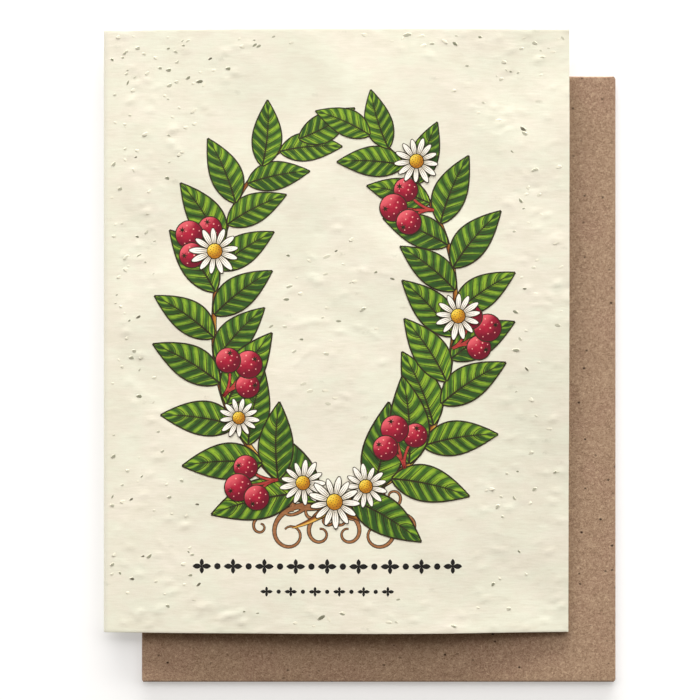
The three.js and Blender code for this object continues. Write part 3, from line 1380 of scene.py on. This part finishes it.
@dataclass
class EnvelopeSheet:
    """The envelope: one kraft sheet of panels, folds and flaps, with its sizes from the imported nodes."""

    kraft: float = 0.2 * MM
    back_shortened: float = 0.2 * MM
    corner: float = 0.5 * MM
    flap_taper: float = 4 * MM
    flap_corner: float = 5 * MM
    flap_inset: float = 1 * MM
    hinge_gap: float = 0.02 * MM
    end_taper: float = 3 * MM

    def __post_init__(self) -> None:
        """Reads the envelope's place and size from its nodes, and draws its two paths."""
        long_low, long_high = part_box("envelope_long_fold")
        back_low, back_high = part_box("envelope_back_panel")
        flap_low, flap_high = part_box("envelope_flap_fold")
        seal_low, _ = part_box("envelope_seal_flap")
        end_low, end_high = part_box("envelope_end_fold_top")
        self.low, self.high = long_low.y, long_high.y
        self.left, self.right = long_high.x, flap_low.x
        self.path = SheetPath(back_high.x, back_low.z).straight(back_high.x - self.left)
        self.path.fold((long_high.z - long_low.z) / 2).straight(self.right - self.left)
        self.path.fold((flap_high.z - flap_low.z) / 2).straight(self.right - seal_low.x)
        end_radius = (end_high.z - end_low.z) / 2
        self.cross = SheetPath(self.low + end_radius, end_low.z).fold(end_radius)
        self.cross.straight(self.high - self.low - 2 * end_radius).fold(end_radius)

    def back_span(self, s: Array) -> tuple[Array, Array]:
        """The back panel's and the long fold's ends, rounded at the envelope's corners."""
        fold, panel = self.path.start(1), self.path.start(2)
        turn = np.clip((s - fold) / (panel - fold), 0, 1)
        short = self.back_shortened * np.clip((fold - s) / MM, 0, 1)
        short += self.corner * np.sin(math.pi * turn) ** 2
        return self.low + short, self.high - short

    def flap_fold_span(self, s: Array) -> tuple[Array, Array]:
        """The flap fold's ends, which run in from the front panel's corners to the narrower seal flap."""
        begin, end = self.path.start(3), self.path.start(4)
        share = np.clip((s - begin) / (end - begin), 0, 1)
        short = self.flap_inset * np.sin(math.pi / 2 * share) ** 1.2
        return self.low + short, self.high - short

    def seal_span(self, s: Array) -> tuple[Array, Array]:
        """The seal flap's ends: they taper from the fold, and the free edge's corners are rounded."""
        begin, end = self.path.start(4), self.path.start(5)
        share = np.clip((s - begin) / (end - begin), 0, 1)
        past = np.clip(1 - (end - s) / self.flap_corner, 0, 1)
        rounded = self.flap_corner * (1 - np.sqrt(1 - past)) ** 2
        short = self.flap_inset + self.flap_taper * share + rounded
        return self.low + short, self.high - short

    def add(self, name: str, slab: Slab, kraft: Material, body: Body, *nodes: str) -> None:
        """Makes one stretch of the envelope that turns with one body."""
        ride(add_piece(name, slab.mesh(name), kraft), body, Slot.KRAFT, *nodes)

    def build(self, kraft: Material) -> None:
        """Makes the envelope's panels, flaps and folds."""
        starts = [self.path.start(run) for run in range(6)]
        back = Slab(self.path, 0, starts[2], self.kraft, self.back_span, cut=(True, False))
        self.add("kraft_back_panel", back, kraft, Body.SET, "envelope_back_panel", "envelope_long_fold")
        front = Slab(self.cross, 0, self.cross.length, self.kraft, even_span(-self.right, -self.left),
                     cut=(False, False), cut_sides=False, turned=True)
        self.add("kraft_front_panel", front, kraft, Body.SET,
                 "envelope_front_panel", "envelope_end_fold_top", "envelope_end_fold_bottom")
        rounded = tuple(self.flap_corner * (k / 14) ** 2 for k in range(1, 14))
        flap = Slab(self.path, starts[4] + self.hinge_gap, starts[5], self.kraft, self.seal_span,
                    cut=(False, True), end_stations=rounded)
        self.add("kraft_seal_flap", flap, kraft, Body.FLAP, "envelope_seal_flap")
        fold = Slab(self.path, starts[3], starts[4], self.kraft, self.flap_fold_span, cut=(False, False))
        crease = add_piece("kraft_flap_fold", fold.mesh("kraft_flap_fold"), kraft)
        bend(crease, Body.FLAP, Slot.KRAFT, "envelope_flap_fold", upwards=False)
        for place in ("top", "bottom"):
            self.build_end_flap(place, kraft)

    def build_end_flap(self, place: str, kraft: Material) -> None:
        """Makes one of the two flaps that are glued inside the envelope's ends."""
        low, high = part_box(f"envelope_end_flap_{place}")
        depth = high.y - low.y

        def span(s: Array) -> tuple[Array, Array]:
            """The flap's slanted ends, widest at the fold."""
            gone = self.end_taper * (s / depth if place == "top" else 1 - s / depth)
            return -high.x + gone, -low.x - gone

        path = SheetPath(high.y, low.z).straight(depth)
        slab = Slab(path, 0, depth, self.kraft, span, cut=(False, False), cut_sides=False, turned=True)
        self.add(f"kraft_end_flap_{place}", slab, kraft, Body.SET, f"envelope_end_flap_{place}")

    def build_gum(self, gum: Material) -> None:
        """Makes the band of dried gum on the seal flap, with ragged sides."""
        low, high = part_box("envelope_gum_strip")

        def ragged(s: Array, phase: float) -> Array:
            """How far a side wanders."""
            waves = ((0.16, 0.5), (0.1, 1.3), (0.06, 2.9))
            return MM * sum(size * np.sin(s / MM * rate + phase * rate) for size, rate in waves)

        def span(s: Array) -> tuple[Array, Array]:
            """The band's two sides."""
            return -high.x + ragged(s, 0.0), -low.x + ragged(s, 9.0)

        path = SheetPath(low.y, high.z, 0.0).straight(high.y - low.y)
        slab = Slab(path, 0, path.length, high.z - low.z, span, turned=True, step=0.8 * MM,
                    rounding=0.5 * MM, softening=0.025 * MM)
        piece = add_piece("gum_band", slab.mesh("gum_band"), gum)
        ride(piece, Body.FLAP, Slot.GUM, "envelope_gum_strip")


# ----------------------------------------------------------------------------------------
# The print
# ----------------------------------------------------------------------------------------


def sideways(line: Array) -> Array:
    """The direction to the left of a line, of length 1, at each of its points."""
    ahead = np.gradient(line, axis=0)
    ahead /= np.maximum(np.hypot(ahead[:, 0], ahead[:, 1]), 1e-12)[:, None]
    return np.stack([-ahead[:, 1], ahead[:, 0]], 1)


def turned(vector: Array, angle: float) -> Array:
    """A vector in the plane, turned by an angle in radians."""
    cosine, sine = math.cos(angle), math.sin(angle)
    return np.array([vector[0] * cosine - vector[1] * sine, vector[0] * sine + vector[1] * cosine])


def bow_line(start: Array, middle: Array, end: Array, count: int = 12) -> Array:
    """A smooth line from a start to an end that is drawn towards a middle point."""
    t = np.linspace(0, 1, count)[:, None]
    return (1 - t) ** 2 * start + 2 * t * (1 - t) * middle + t**2 * end


@dataclass
class Drawing:
    """Flat shapes of one ink for one mesh. Each has a map of its own from 0 to 1, and a level."""

    points: list[Array] = field(default_factory=list)
    maps: list[Array] = field(default_factory=list)
    levels: list[Array] = field(default_factory=list)
    faces: list[tuple[int, ...]] = field(default_factory=list)
    count: int = 0

    def add(self, points: Array, places: Array, faces: Iterable[Sequence[int]], level: float) -> None:
        """Adds a shape.

        Args:
            points: Its points in the plane.
            places: Their places on the shape's map.
            faces: Its faces, which count from its own first point.
            level: The layer of ink that it lies in.
        """
        self.points.append(points)
        self.maps.append(places)
        self.levels.append(np.full(len(points), float(level)))
        self.faces += [tuple(self.count + index for index in face) for face in faces]
        self.count += len(points)

    def patch(self, grid: Array, level: float = 0.0) -> None:
        """Adds a grid of points, columns by rows."""
        columns, rows = grid.shape[:2]
        axes = np.meshgrid(np.linspace(0, 1, columns), np.linspace(0, 1, rows), indexing="ij")
        places = np.stack([axis.ravel() for axis in axes], 1)
        self.add(grid.reshape(-1, 2), places, grid_faces(columns, rows), level)

    def ribbon(self, line: Array, first: float, last: float, level: float = 0.0,
               tip: float = 0.0) -> None:
        """Adds a line that goes from a first width to a last width.

        Args:
            line: The line's points.
            first: The width at its beginning.
            last: The width at its end.
            level: The layer of ink that it lies in.
            tip: The share of the line over which its beginning comes to a point.
        """
        half = np.linspace(first, last, len(line)) / 2
        if tip:
            half *= np.sqrt(np.clip(np.linspace(0, 1 / tip, len(line)), 0.01, 1))
        side = sideways(line) * half[:, None]
        self.patch(np.stack([line + side, line - side], 1), level)

    def disc(self, centre: Array, radius: float, level: float = 0.0, sides: int = 24,
             rings: int = 3) -> None:
        """Adds a disc whose map has its middle at 0.5, 0.5."""
        angle = np.linspace(0, 2 * math.pi, sides, endpoint=False)
        circle = np.stack([np.cos(angle), np.sin(angle)], 1)
        around = [circle * (ring + 1) / rings for ring in range(rings)]
        unit = np.concatenate([np.zeros((1, 2)), *around])
        faces = [(0, 1 + side, 1 + (side + 1) % sides) for side in range(sides)]
        for base in range(1, 1 + (rings - 1) * sides, sides):
            for side in range(sides):
                after = (side + 1) % sides
                faces.append((base + side, base + sides + side, base + sides + after, base + after))
        self.add(np.asarray(centre) + unit * radius, 0.5 + unit * 0.5, faces, level)

    def mesh(self, name: str, origin: Sequence[float] = (0.0, 0.0), unit: float = 1.0) -> Mesh:
        """Makes the mesh, flat at Z = 0.

        Args:
            name: The mesh's name.
            origin: Where the drawing's own origin goes, in metres.
            unit: The drawing's unit in metres.

        Returns:
            The mesh, with the map and the levels.
        """
        flat = np.array(origin) + np.concatenate(self.points) * unit
        mesh = new_mesh(name, np.column_stack([flat, np.zeros(len(flat))]), self.faces)
        keep_map(mesh, np.concatenate(self.maps))
        keep_numbers(mesh, "level", np.concatenate(self.levels))
        return mesh

    def template(self, name: str) -> Object:
        """An object of the drawing for a tree to place. It isn't a part of the scene itself."""
        return bpy.data.objects.new(name, self.mesh(name))


@dataclass
class Press:
    """Lays flat pieces on the front leaf, layer over layer, and makes them ride on it."""

    card: CardSheet
    base: float = 0.012 * MM
    layer: float = 0.004 * MM

    def lay(self, piece: Object, raised: float = 0.0) -> None:
        """Drapes a flat piece over the front leaf.

        Args:
            piece: The piece, flat at Z = 0. It may hold a tier and a level for each point.
            raised: How many layers the whole piece is raised.
        """
        mesh = piece.data
        points = points_of(mesh)
        layers = numbers_of(mesh, "tier") + numbers_of(mesh, "level") + raised
        paper = self.card.front_height(points[:, 0], points[:, 1])
        points[:, 2] = paper + self.base + self.layer * layers
        set_points(mesh, points)
        for face in mesh.polygons:
            if face.normal.z < 0:
                face.flip()
        mesh.polygons.foreach_set("use_smooth", [True] * len(mesh.polygons))
        ride(piece, Body.FRONT, Slot.SEEDED)

    def ink(self, name: str, drawing: Drawing, ink: Material) -> None:
        """Prints a drawing that is measured in millimetres from the middle of the card's face."""
        origin = (self.card.centre_x, self.card.middle)
        self.lay(add_piece(name, drawing.mesh(name, origin, MM), ink))

    def points(self, name: str, places: Array, **numbers: Array) -> Mesh:
        """Loose points for a tree, at places in millimetres from the middle of the card's face."""
        flat = np.array([self.card.centre_x, self.card.middle]) + places * MM
        return point_mesh(name, np.column_stack([flat, np.zeros(len(flat))]), **numbers)

    def line(self, name: str, places: Array) -> Mesh:
        """An edge line for a tree, through places in millimetres from the middle of the card's face."""
        flat = np.array([self.card.centre_x, self.card.middle]) + places * MM
        mesh = bpy.data.meshes.new(name)
        edges = [(index, index + 1) for index in range(len(flat) - 1)]
        mesh.from_pydata(np.column_stack([flat, np.zeros(len(flat))]).tolist(), edges, [])
        return mesh


@dataclass(frozen=True)
class LeafShape:
    """A plain pointed leaf of unit length along +X, a little bent, with the lines that are inked on it."""

    half: float = 0.225
    fullness: float = 0.9
    widest: float = 0.78
    bow: float = 0.16
    columns: int = 19
    rows: int = 9
    veins: int = 6
    first_vein: float = 0.1
    vein_gap: float = 0.115
    sweep: float = 0.17

    def at(self, along: Array, across: Array) -> Array:
        """Points of the leaf.

        Args:
            along: Shares along the leaf, 0 to 1.
            across: Shares across it, -1 to 1.

        Returns:
            One point for each place.
        """
        kept = np.clip(along, 0.004, 0.996)
        width = self.half * np.sin(math.pi * kept**self.widest) ** self.fullness
        return np.stack([along + 0 * across, self.bow * along * (along - 0.5) + across * width], -1)

    def fill(self) -> Drawing:
        """The leaf's face."""
        drawing = Drawing()
        along, across = np.linspace(0, 1, self.columns), np.linspace(-1, 1, self.rows)
        drawing.patch(self.at(*np.meshgrid(along, across, indexing="ij")))
        return drawing

    def vein(self, root: float, reach: float, side: int, count: int = 7) -> Array:
        """A line that runs from the midrib towards an edge."""
        t = np.linspace(0, 1, count)
        return self.at(root + self.sweep * reach * t**1.25, side * reach * t)

    def lines(self) -> Drawing:
        """The leaf's outline, ribs and hatching."""
        drawing = Drawing()
        along = np.linspace(0, 1, self.columns)
        drawing.ribbon(self.at(along, 0 * along), 0.026, 0.008, 0.2)
        for side in (-1, 1):
            drawing.ribbon(self.at(along, np.full(len(along), float(side))), 0.022, 0.017, 0.3)
            for vein in range(self.veins):
                root = self.first_vein + self.vein_gap * vein
                drawing.ribbon(self.vein(root, 0.94, side), 0.012, 0.006)
                for shift, reach in ((0.03, 0.4), (0.055, 0.62), (0.085, 0.34)):
                    drawing.ribbon(self.vein(root + shift, reach, side, 5), 0.008, 0.002)
        return drawing


@dataclass(frozen=True)
class PetalShape:
    """A daisy's petal of about unit length along +X, narrow at its root and round at its tip."""

    length: float = 0.8
    half: float = 0.152
    widest: float = 0.9
    fullness: float = 0.55
    columns: int = 11

    def at(self, along: Array, across: Array, grown: float = 0.0) -> Array:
        """Points at shares along and across the petal, which is grown outwards by a rim."""
        bulge = np.sin(math.pi * np.clip(along, 0.02, 0.98) ** self.widest) ** self.fullness
        width = (self.half * (0.45 + 0.55 * along) + grown) * bulge
        reach = along * (self.length + 2 * grown) - grown
        return np.stack([reach + 0 * across, across * width], -1)

    def face(self, grown: float = 0.0) -> Drawing:
        """The petal's face, or the dark ink that shows around it."""
        drawing = Drawing()
        along, across = np.linspace(0, 1, self.columns), np.linspace(-1, 1, 5)
        drawing.patch(self.at(*np.meshgrid(along, across, indexing="ij"), grown))
        return drawing

    def lines(self) -> Drawing:
        """The two fine creases of the petal."""
        drawing = Drawing()
        along = np.linspace(0.2, 0.72, 6)
        for side in (-0.4, 0.35):
            drawing.ribbon(self.at(along, np.full(len(along), side)), 0.022, 0.006)
        return drawing


@dataclass(frozen=True)
class WreathInks:
    """The inks of the print."""

    outline: Material
    leaf: Material
    ochre: Material
    stalk: Material
    berry: Material
    shine: Material
    petal: Material
    heart: Material
    root: Material
    black: Material

    @classmethod
    def mixed(cls) -> WreathInks:
        """Makes the inks."""
        return cls(
            outline=Ink("print_outline_ink", linear(44, 38, 22), linear(84, 74, 50)).build(),
            leaf=LeafInk().build(),
            ochre=RoundInk("print_ochre", linear(226, 176, 84), linear(186, 124, 44),
                           linear(128, 70, 34)).build(),
            stalk=Ink("print_stalk_red", linear(172, 52, 52), linear(206, 112, 84)).build(),
            berry=RoundInk("print_crimson", linear(226, 96, 106), linear(178, 32, 58),
                           linear(112, 16, 38)).build(),
            shine=Ink("print_pale_dots", linear(240, 170, 160), linear(226, 130, 120)).build(),
            petal=PetalInk().build(),
            heart=RoundInk("print_yellow", linear(244, 212, 84), linear(226, 176, 40),
                           linear(176, 112, 28)).build(),
            root=Ink("print_root_brown", linear(150, 98, 62), linear(196, 148, 100)).build(),
            black=Ink("print_black", linear(26, 24, 22), linear(52, 50, 46)).build(),
        )


@dataclass
class Wreath:
    """The wreath: two leafy branches that cross at the bottom, with berries, daisies and curled scrolls."""

    press: Press
    plan: WreathPlan
    inks: WreathInks
    first_angle: float = -73.0
    sweep: float = 180.0
    flare: float = 0.18
    flare_share: float = 0.13
    leafy_from: float = 0.14
    leaves: int = 20
    clusters: tuple[tuple[float, int, int], ...] = (
        (0.27, -1, 1), (0.47, -1, -1), (0.7, -1, 1), (0.31, 1, -1), (0.55, 1, 1), (0.8, 1, -1),
    )
    berries: tuple[tuple[float, float, float], ...] = ((-34.0, 6.2, 2.7), (2.0, 8.4, 3.1), (37.0, 6.6, 2.8))
    daisies: tuple[tuple[float, float, float], ...] = (
        (-7.6, -35.0, 5.2), (6.9, -35.8, 5.0), (-0.3, -39.4, 5.9), (-28.0, 18.5, 5.6), (-22.4, -20.0, 4.6),
        (28.2, 3.5, 5.3), (18.6, 39.2, 5.2),
    )
    scrolls: tuple[tuple[float, float, float, float, float], ...] = (
        (0.5, 2.0, 31.0, -400.0, 1.25), (1.0, -12.0, 21.0, 330.0, 1.1), (1.0, -34.0, 17.0, -330.0, 1.0),
        (0.5, -54.0, 11.5, 300.0, 0.9), (0.2, -80.0, 8.5, -250.0, 0.75), (9.0, -6.0, 13.0, 320.0, 0.7),
        (6.5, -34.0, 10.5, 330.0, 0.6), (14.0, -12.0, 11.5, -340.0, 0.6),
    )
    petals: int = 13

    def branch(self, side: int) -> Array:
        """The left (-1) or right (1) branch's line, in millimetres from the middle of the card."""
        share = np.linspace(0, 1, 240)
        angle = np.radians(self.first_angle - self.sweep * share)
        flare = 1 + self.flare * np.clip(1 - share / self.flare_share, 0, 1) ** 1.5
        size = flare * (1 + 0.012 * np.sin(share * 19 + side)) / MM
        x = self.plan.x / MM - side * self.plan.half_width * np.cos(angle) * size
        return np.stack([x, self.plan.y / MM + self.plan.half_length * np.sin(angle) * size], 1)

    def build(self) -> None:
        """Prints the wreath."""
        self.print_scrolls()
        self.print_stems()
        self.print_leaves()
        self.print_berries()
        self.print_daisies()

    def print_scrolls(self) -> None:
        """Prints the curled brown scrolls under the crossing."""
        rims, fills = Drawing(), Drawing()
        for side in (-1, 1):
            for start, heading, length, curl, width in self.scrolls:
                t = np.linspace(0, 1, 40)
                angle = np.radians(heading + curl * t**2.3)
                step = np.stack([side * np.cos(angle), np.sin(angle)], 1) * length / len(t)
                root = np.array([self.plan.x / MM + side * start, -40.0 - start * 0.12])
                line = root + np.cumsum(step, axis=0)
                rims.ribbon(line, width + 0.42, 0.5, 0)
                fills.ribbon(line, width, 0.16, 1)
        self.press.ink("print_scroll_rims", rims, self.inks.outline)
        self.press.ink("print_scrolls", fills, self.inks.root)

    def print_stems(self) -> None:
        """Prints the two woody branches."""
        rims, fills = Drawing(), Drawing()
        for side in (-1, 1):
            line = self.branch(side)
            rims.ribbon(line, 2.0, 0.8, 2 + (side > 0), tip=0.1)
            fills.ribbon(line, 1.45, 0.4, 2.5 + (side > 0), tip=0.1)
        self.press.ink("print_stem_rims", rims, self.inks.outline)
        self.press.ink("print_stems", fills, self.inks.ochre)

    def print_leaves(self) -> None:
        """Prints the leaves along each branch, and the lines on them."""
        tree = AlongBranch()
        shape = LeafShape()
        fill, lines = shape.fill().template("leaf_fill"), shape.lines().template("leaf_lines")
        for side, place in ((-1, "left"), (1, "right")):
            line = self.branch(side)
            line = line[int(len(line) * self.leafy_from):]
            for name, template, ink, raised in (
                (f"print_{place}_leaves", fill, self.inks.leaf, 4.0),
                (f"print_{place}_leaf_lines", lines, self.inks.outline, 4.4),
            ):
                piece = tree.run(name, self.press.line(name, line), seed=20 + side, template=template,
                                 material=ink, count=self.leaves, splay=0.74, jitter=0.14,
                                 base_size=20 * MM, tip_size=15 * MM, tiers=4.0)
                self.press.lay(piece, raised + 2 * (side + 1))

    def print_berries(self) -> None:
        """Prints the clusters of berries on red stalks."""
        rims, stalks, fruit, shine, crowns = Drawing(), Drawing(), Drawing(), Drawing(), Drawing()
        for share, side, way in self.clusters:
            line = self.branch(side)
            index = int(share * len(line))
            ahead = line[index + 2] - line[index - 2]
            ahead /= np.hypot(*ahead)
            out = np.array([ahead[1], -ahead[0]]) * side * way
            for number, (angle, reach, radius) in enumerate(self.berries):
                tier = 12 + number * 2.0
                aim = turned(out * 0.92 + ahead * 0.4, math.radians(angle))
                centre = line[index] + aim * reach
                stalk = bow_line(line[index] - ahead * 2, line[index] + out * reach * 0.45, centre)
                rims.ribbon(stalk, 0.95, 0.8, 11.4)
                stalks.ribbon(stalk, 0.55, 0.45, 11.7)
                rims.disc(centre, radius + 0.24, tier)
                fruit.disc(centre, radius, tier + 0.5)
                for dot in range(9):
                    place = turned(np.array([radius * 0.27 * math.sqrt(dot + 0.6), 0.0]), dot * 2.4)
                    shine.disc(centre + place, 0.15 if dot % 3 else 0.2, tier + 0.9, sides=7, rings=1)
                for spoke in range(6):
                    tip = turned(aim, spoke * math.pi / 3)
                    crown = centre + aim * radius * 0.62
                    lobe = bow_line(crown, crown + tip * 0.4, crown + tip * 0.8, 4)
                    crowns.ribbon(lobe, 0.4, 0.05, tier + 1.2)
        self.press.ink("print_berry_rims", rims, self.inks.outline)
        self.press.ink("print_stalks", stalks, self.inks.stalk)
        self.press.ink("print_berries", fruit, self.inks.berry)
        self.press.ink("print_berry_dots", shine, self.inks.shine)
        self.press.ink("print_berry_crowns", crowns, self.inks.outline)

    def print_daisies(self) -> None:
        """Prints the daisies: dark rims, white petals, creases, and yellow hearts with dots."""
        places = np.array([daisy[:2] for daisy in self.daisies])
        sizes = np.array([daisy[2] for daisy in self.daisies])
        turns = np.arange(len(places)) * 0.7
        shape = PetalShape()
        tree = RingAtPoints()
        for name, drawing, ink, raised in (
            ("print_petal_rims", shape.face(0.042), self.inks.outline, 19.0),
            ("print_petals", shape.face(), self.inks.petal, 20.0),
            ("print_petal_lines", shape.lines(), self.inks.outline, 20.5),
        ):
            tiers = np.arange(len(places)) * 2.0
            source = self.press.points(name, places, size=sizes * MM, turn=turns, tier=tiers)
            template = drawing.template(f"{name}_shape")
            piece = tree.run(name, source, seed=7, template=template, material=ink,
                             count=self.petals, radius=0.2, jitter=0.05)
            self.press.lay(piece, raised)
        rims, hearts, dots = Drawing(), Drawing(), Drawing()
        for number, (x, y, size) in enumerate(self.daisies):
            tier = 21.0 + number * 2
            radius = size * 0.3
            centre = np.array([x, y])
            rims.disc(centre, radius + 0.22, tier)
            hearts.disc(centre, radius, tier + 0.4)
            for dot in range(22):
                place = turned(np.array([radius * 0.2 * math.sqrt(dot + 0.5), 0.0]), dot * 2.4)
                dots.disc(centre + place, 0.1, tier + 0.8, sides=6, rings=1)
        self.press.ink("print_heart_rims", rims, self.inks.outline)
        self.press.ink("print_hearts", hearts, self.inks.heart)
        self.press.ink("print_heart_dots", dots, self.inks.outline)


@dataclass
class Ornament:
    """Two rows of small plain motifs in black at the foot of the card, with a long row over a short one."""

    press: Press
    rows: tuple[tuple[float, float, int, float], ...] = ((-54.3, 29.0, 17, 1.75), (-60.1, 14.0, 11, 1.15))
    middle: float = -2.0

    def build(self, ink: Material) -> None:
        """Prints the rows."""
        drawing = Drawing()
        for y, half, count, size in self.rows:
            for number, x in enumerate(np.linspace(self.middle - half, self.middle + half, count)):
                centre = np.array([x, y])
                if number % 2:
                    drawing.disc(centre, size * 0.42, sides=16, rings=1)
                    continue
                for turn in range(4):
                    reach = size * (1.25 if turn % 2 == 0 else 1.0)
                    tip = turned(np.array([reach, 0.0]), turn * math.pi / 2)
                    side = turned(tip, math.pi / 2) * 0.56
                    middles = [centre + tip / 2 + way * side for way in (1, -1)]
                    rims = [bow_line(centre, middle, centre + tip, 7) for middle in middles]
                    drawing.patch(np.stack(rims, 1))
        self.press.ink("print_ornament", drawing, ink)


@dataclass
class Studio:
    """The camera, the lights and the pale floor."""

    centre: tuple[float, float] = (-2.365 * MM, 1.595 * MM)
    height: float = 370 * MM
    pixels_per_mm: float = 4.3285
    picture: int = 700
    sensor: float = 36.0
    floor_size: float = 3.0
    sky: Colour = (0.15, 0.12, 0.092)
    haze: tuple[float, float] = (0.06, 0.15)

    def camera(self, top: float) -> None:
        """Looks straight down on the card.

        Args:
            top: The height of the card's face, on which the picture's scale was measured.
        """
        data = bpy.data.cameras.new("camera")
        data.sensor_width = self.sensor
        data.lens = self.pixels_per_mm * self.height / MM / self.picture * self.sensor
        camera = bpy.data.objects.new("camera", data)
        camera.location = (*self.centre, top + self.height)
        bpy.context.scene.collection.objects.link(camera)
        bpy.context.scene.camera = camera

    def lamp(self, name: str, place: Sequence[float], size: Sequence[float], power: float,
             colour: Colour) -> None:
        """Adds a soft light of a width and a height that faces the set."""
        data = bpy.data.lights.new(name, "AREA")
        data.shape = "RECTANGLE"
        data.size, data.size_y = size
        data.energy, data.color = power, colour
        lamp = bpy.data.objects.new(name, data)
        lamp.location = place
        lamp.rotation_euler = Vector(place).to_track_quat("Z", "Y").to_euler()
        bpy.context.scene.collection.objects.link(lamp)

    def build(self, top: float) -> None:
        """Sets up the picture.

        Args:
            top: The height of the card's face.
        """
        self.camera(top)
        self.lamp("key", (0.0, 1.52, 1.15), (2.56, 1.44), 28.0, (1.0, 0.99, 0.975))
        self.lamp("window", (0.0, 3.2, 0.64), (3.84, 0.64), 248.0, (1.0, 0.99, 0.975))
        self.lamp("left", (-1.6, 0.88, 1.0), (1.44, 1.12), 12.4, (1.0, 0.99, 0.975))
        self.lamp("right", (1.6, 0.88, 1.0), (1.44, 1.12), 12.4, (0.98, 0.99, 1.0))
        half = self.floor_size / 2
        corners = np.array([(-half, -half, 0), (half, -half, 0), (half, half, 0), (-half, half, 0)])
        floor = add_piece("floor", new_mesh("floor", corners, [(0, 1, 2, 3)]), StudioFloor().build())
        bpy.context.scene.world = self.backdrop()
        bpy.context.scene.view_settings.view_transform = "Standard"

    def backdrop(self) -> bpy.types.World:
        """Makes the dim sky, with a white band along the horizon for the low views."""
        world = bpy.data.worlds.new("studio")
        world.use_nodes = True
        g = Graph(world.node_tree)
        source = g.node("ShaderNodeTexCoord").outputs["Generated"]
        rise = g.signal(g.node("ShaderNodeSeparateXYZ", {"Vector": source}), "Z")
        colours = {"Factor": rise.between(*self.haze), "A": (1.0, 1.0, 1.0, 1.0), "B": (*self.sky, 1.0)}
        mixed = g.node("ShaderNodeMix", colours, data_type="RGBA", clamp_factor=True)
        g.tree.links.new(g.in_use(mixed.outputs, "Result"), g.tree.nodes["Background"].inputs["Color"])
        return world


def main() -> None:
    """Builds the set."""
    logging.basicConfig(level=logging.INFO, format="%(message)s")
    paper = SeededPaper().build()
    kraft = KraftPaper().build()
    card = CardSheet()
    card.build(paper)
    at_points, fleck = AtPoints(), FleckFinish().build()
    card.scatter_seeds(at_points, fleck)
    card.scatter_flecks(at_points, fleck)
    envelope = EnvelopeSheet()
    envelope.build(kraft)
    envelope.build_gum(DriedGum().build())
    press = Press(card)
    inks = WreathInks.mixed()
    Wreath(press, card.wreath, inks).build()
    Ornament(press).build(inks.black)
    Studio().build(4.6 * MM)


if __name__ == "__main__":
    main()
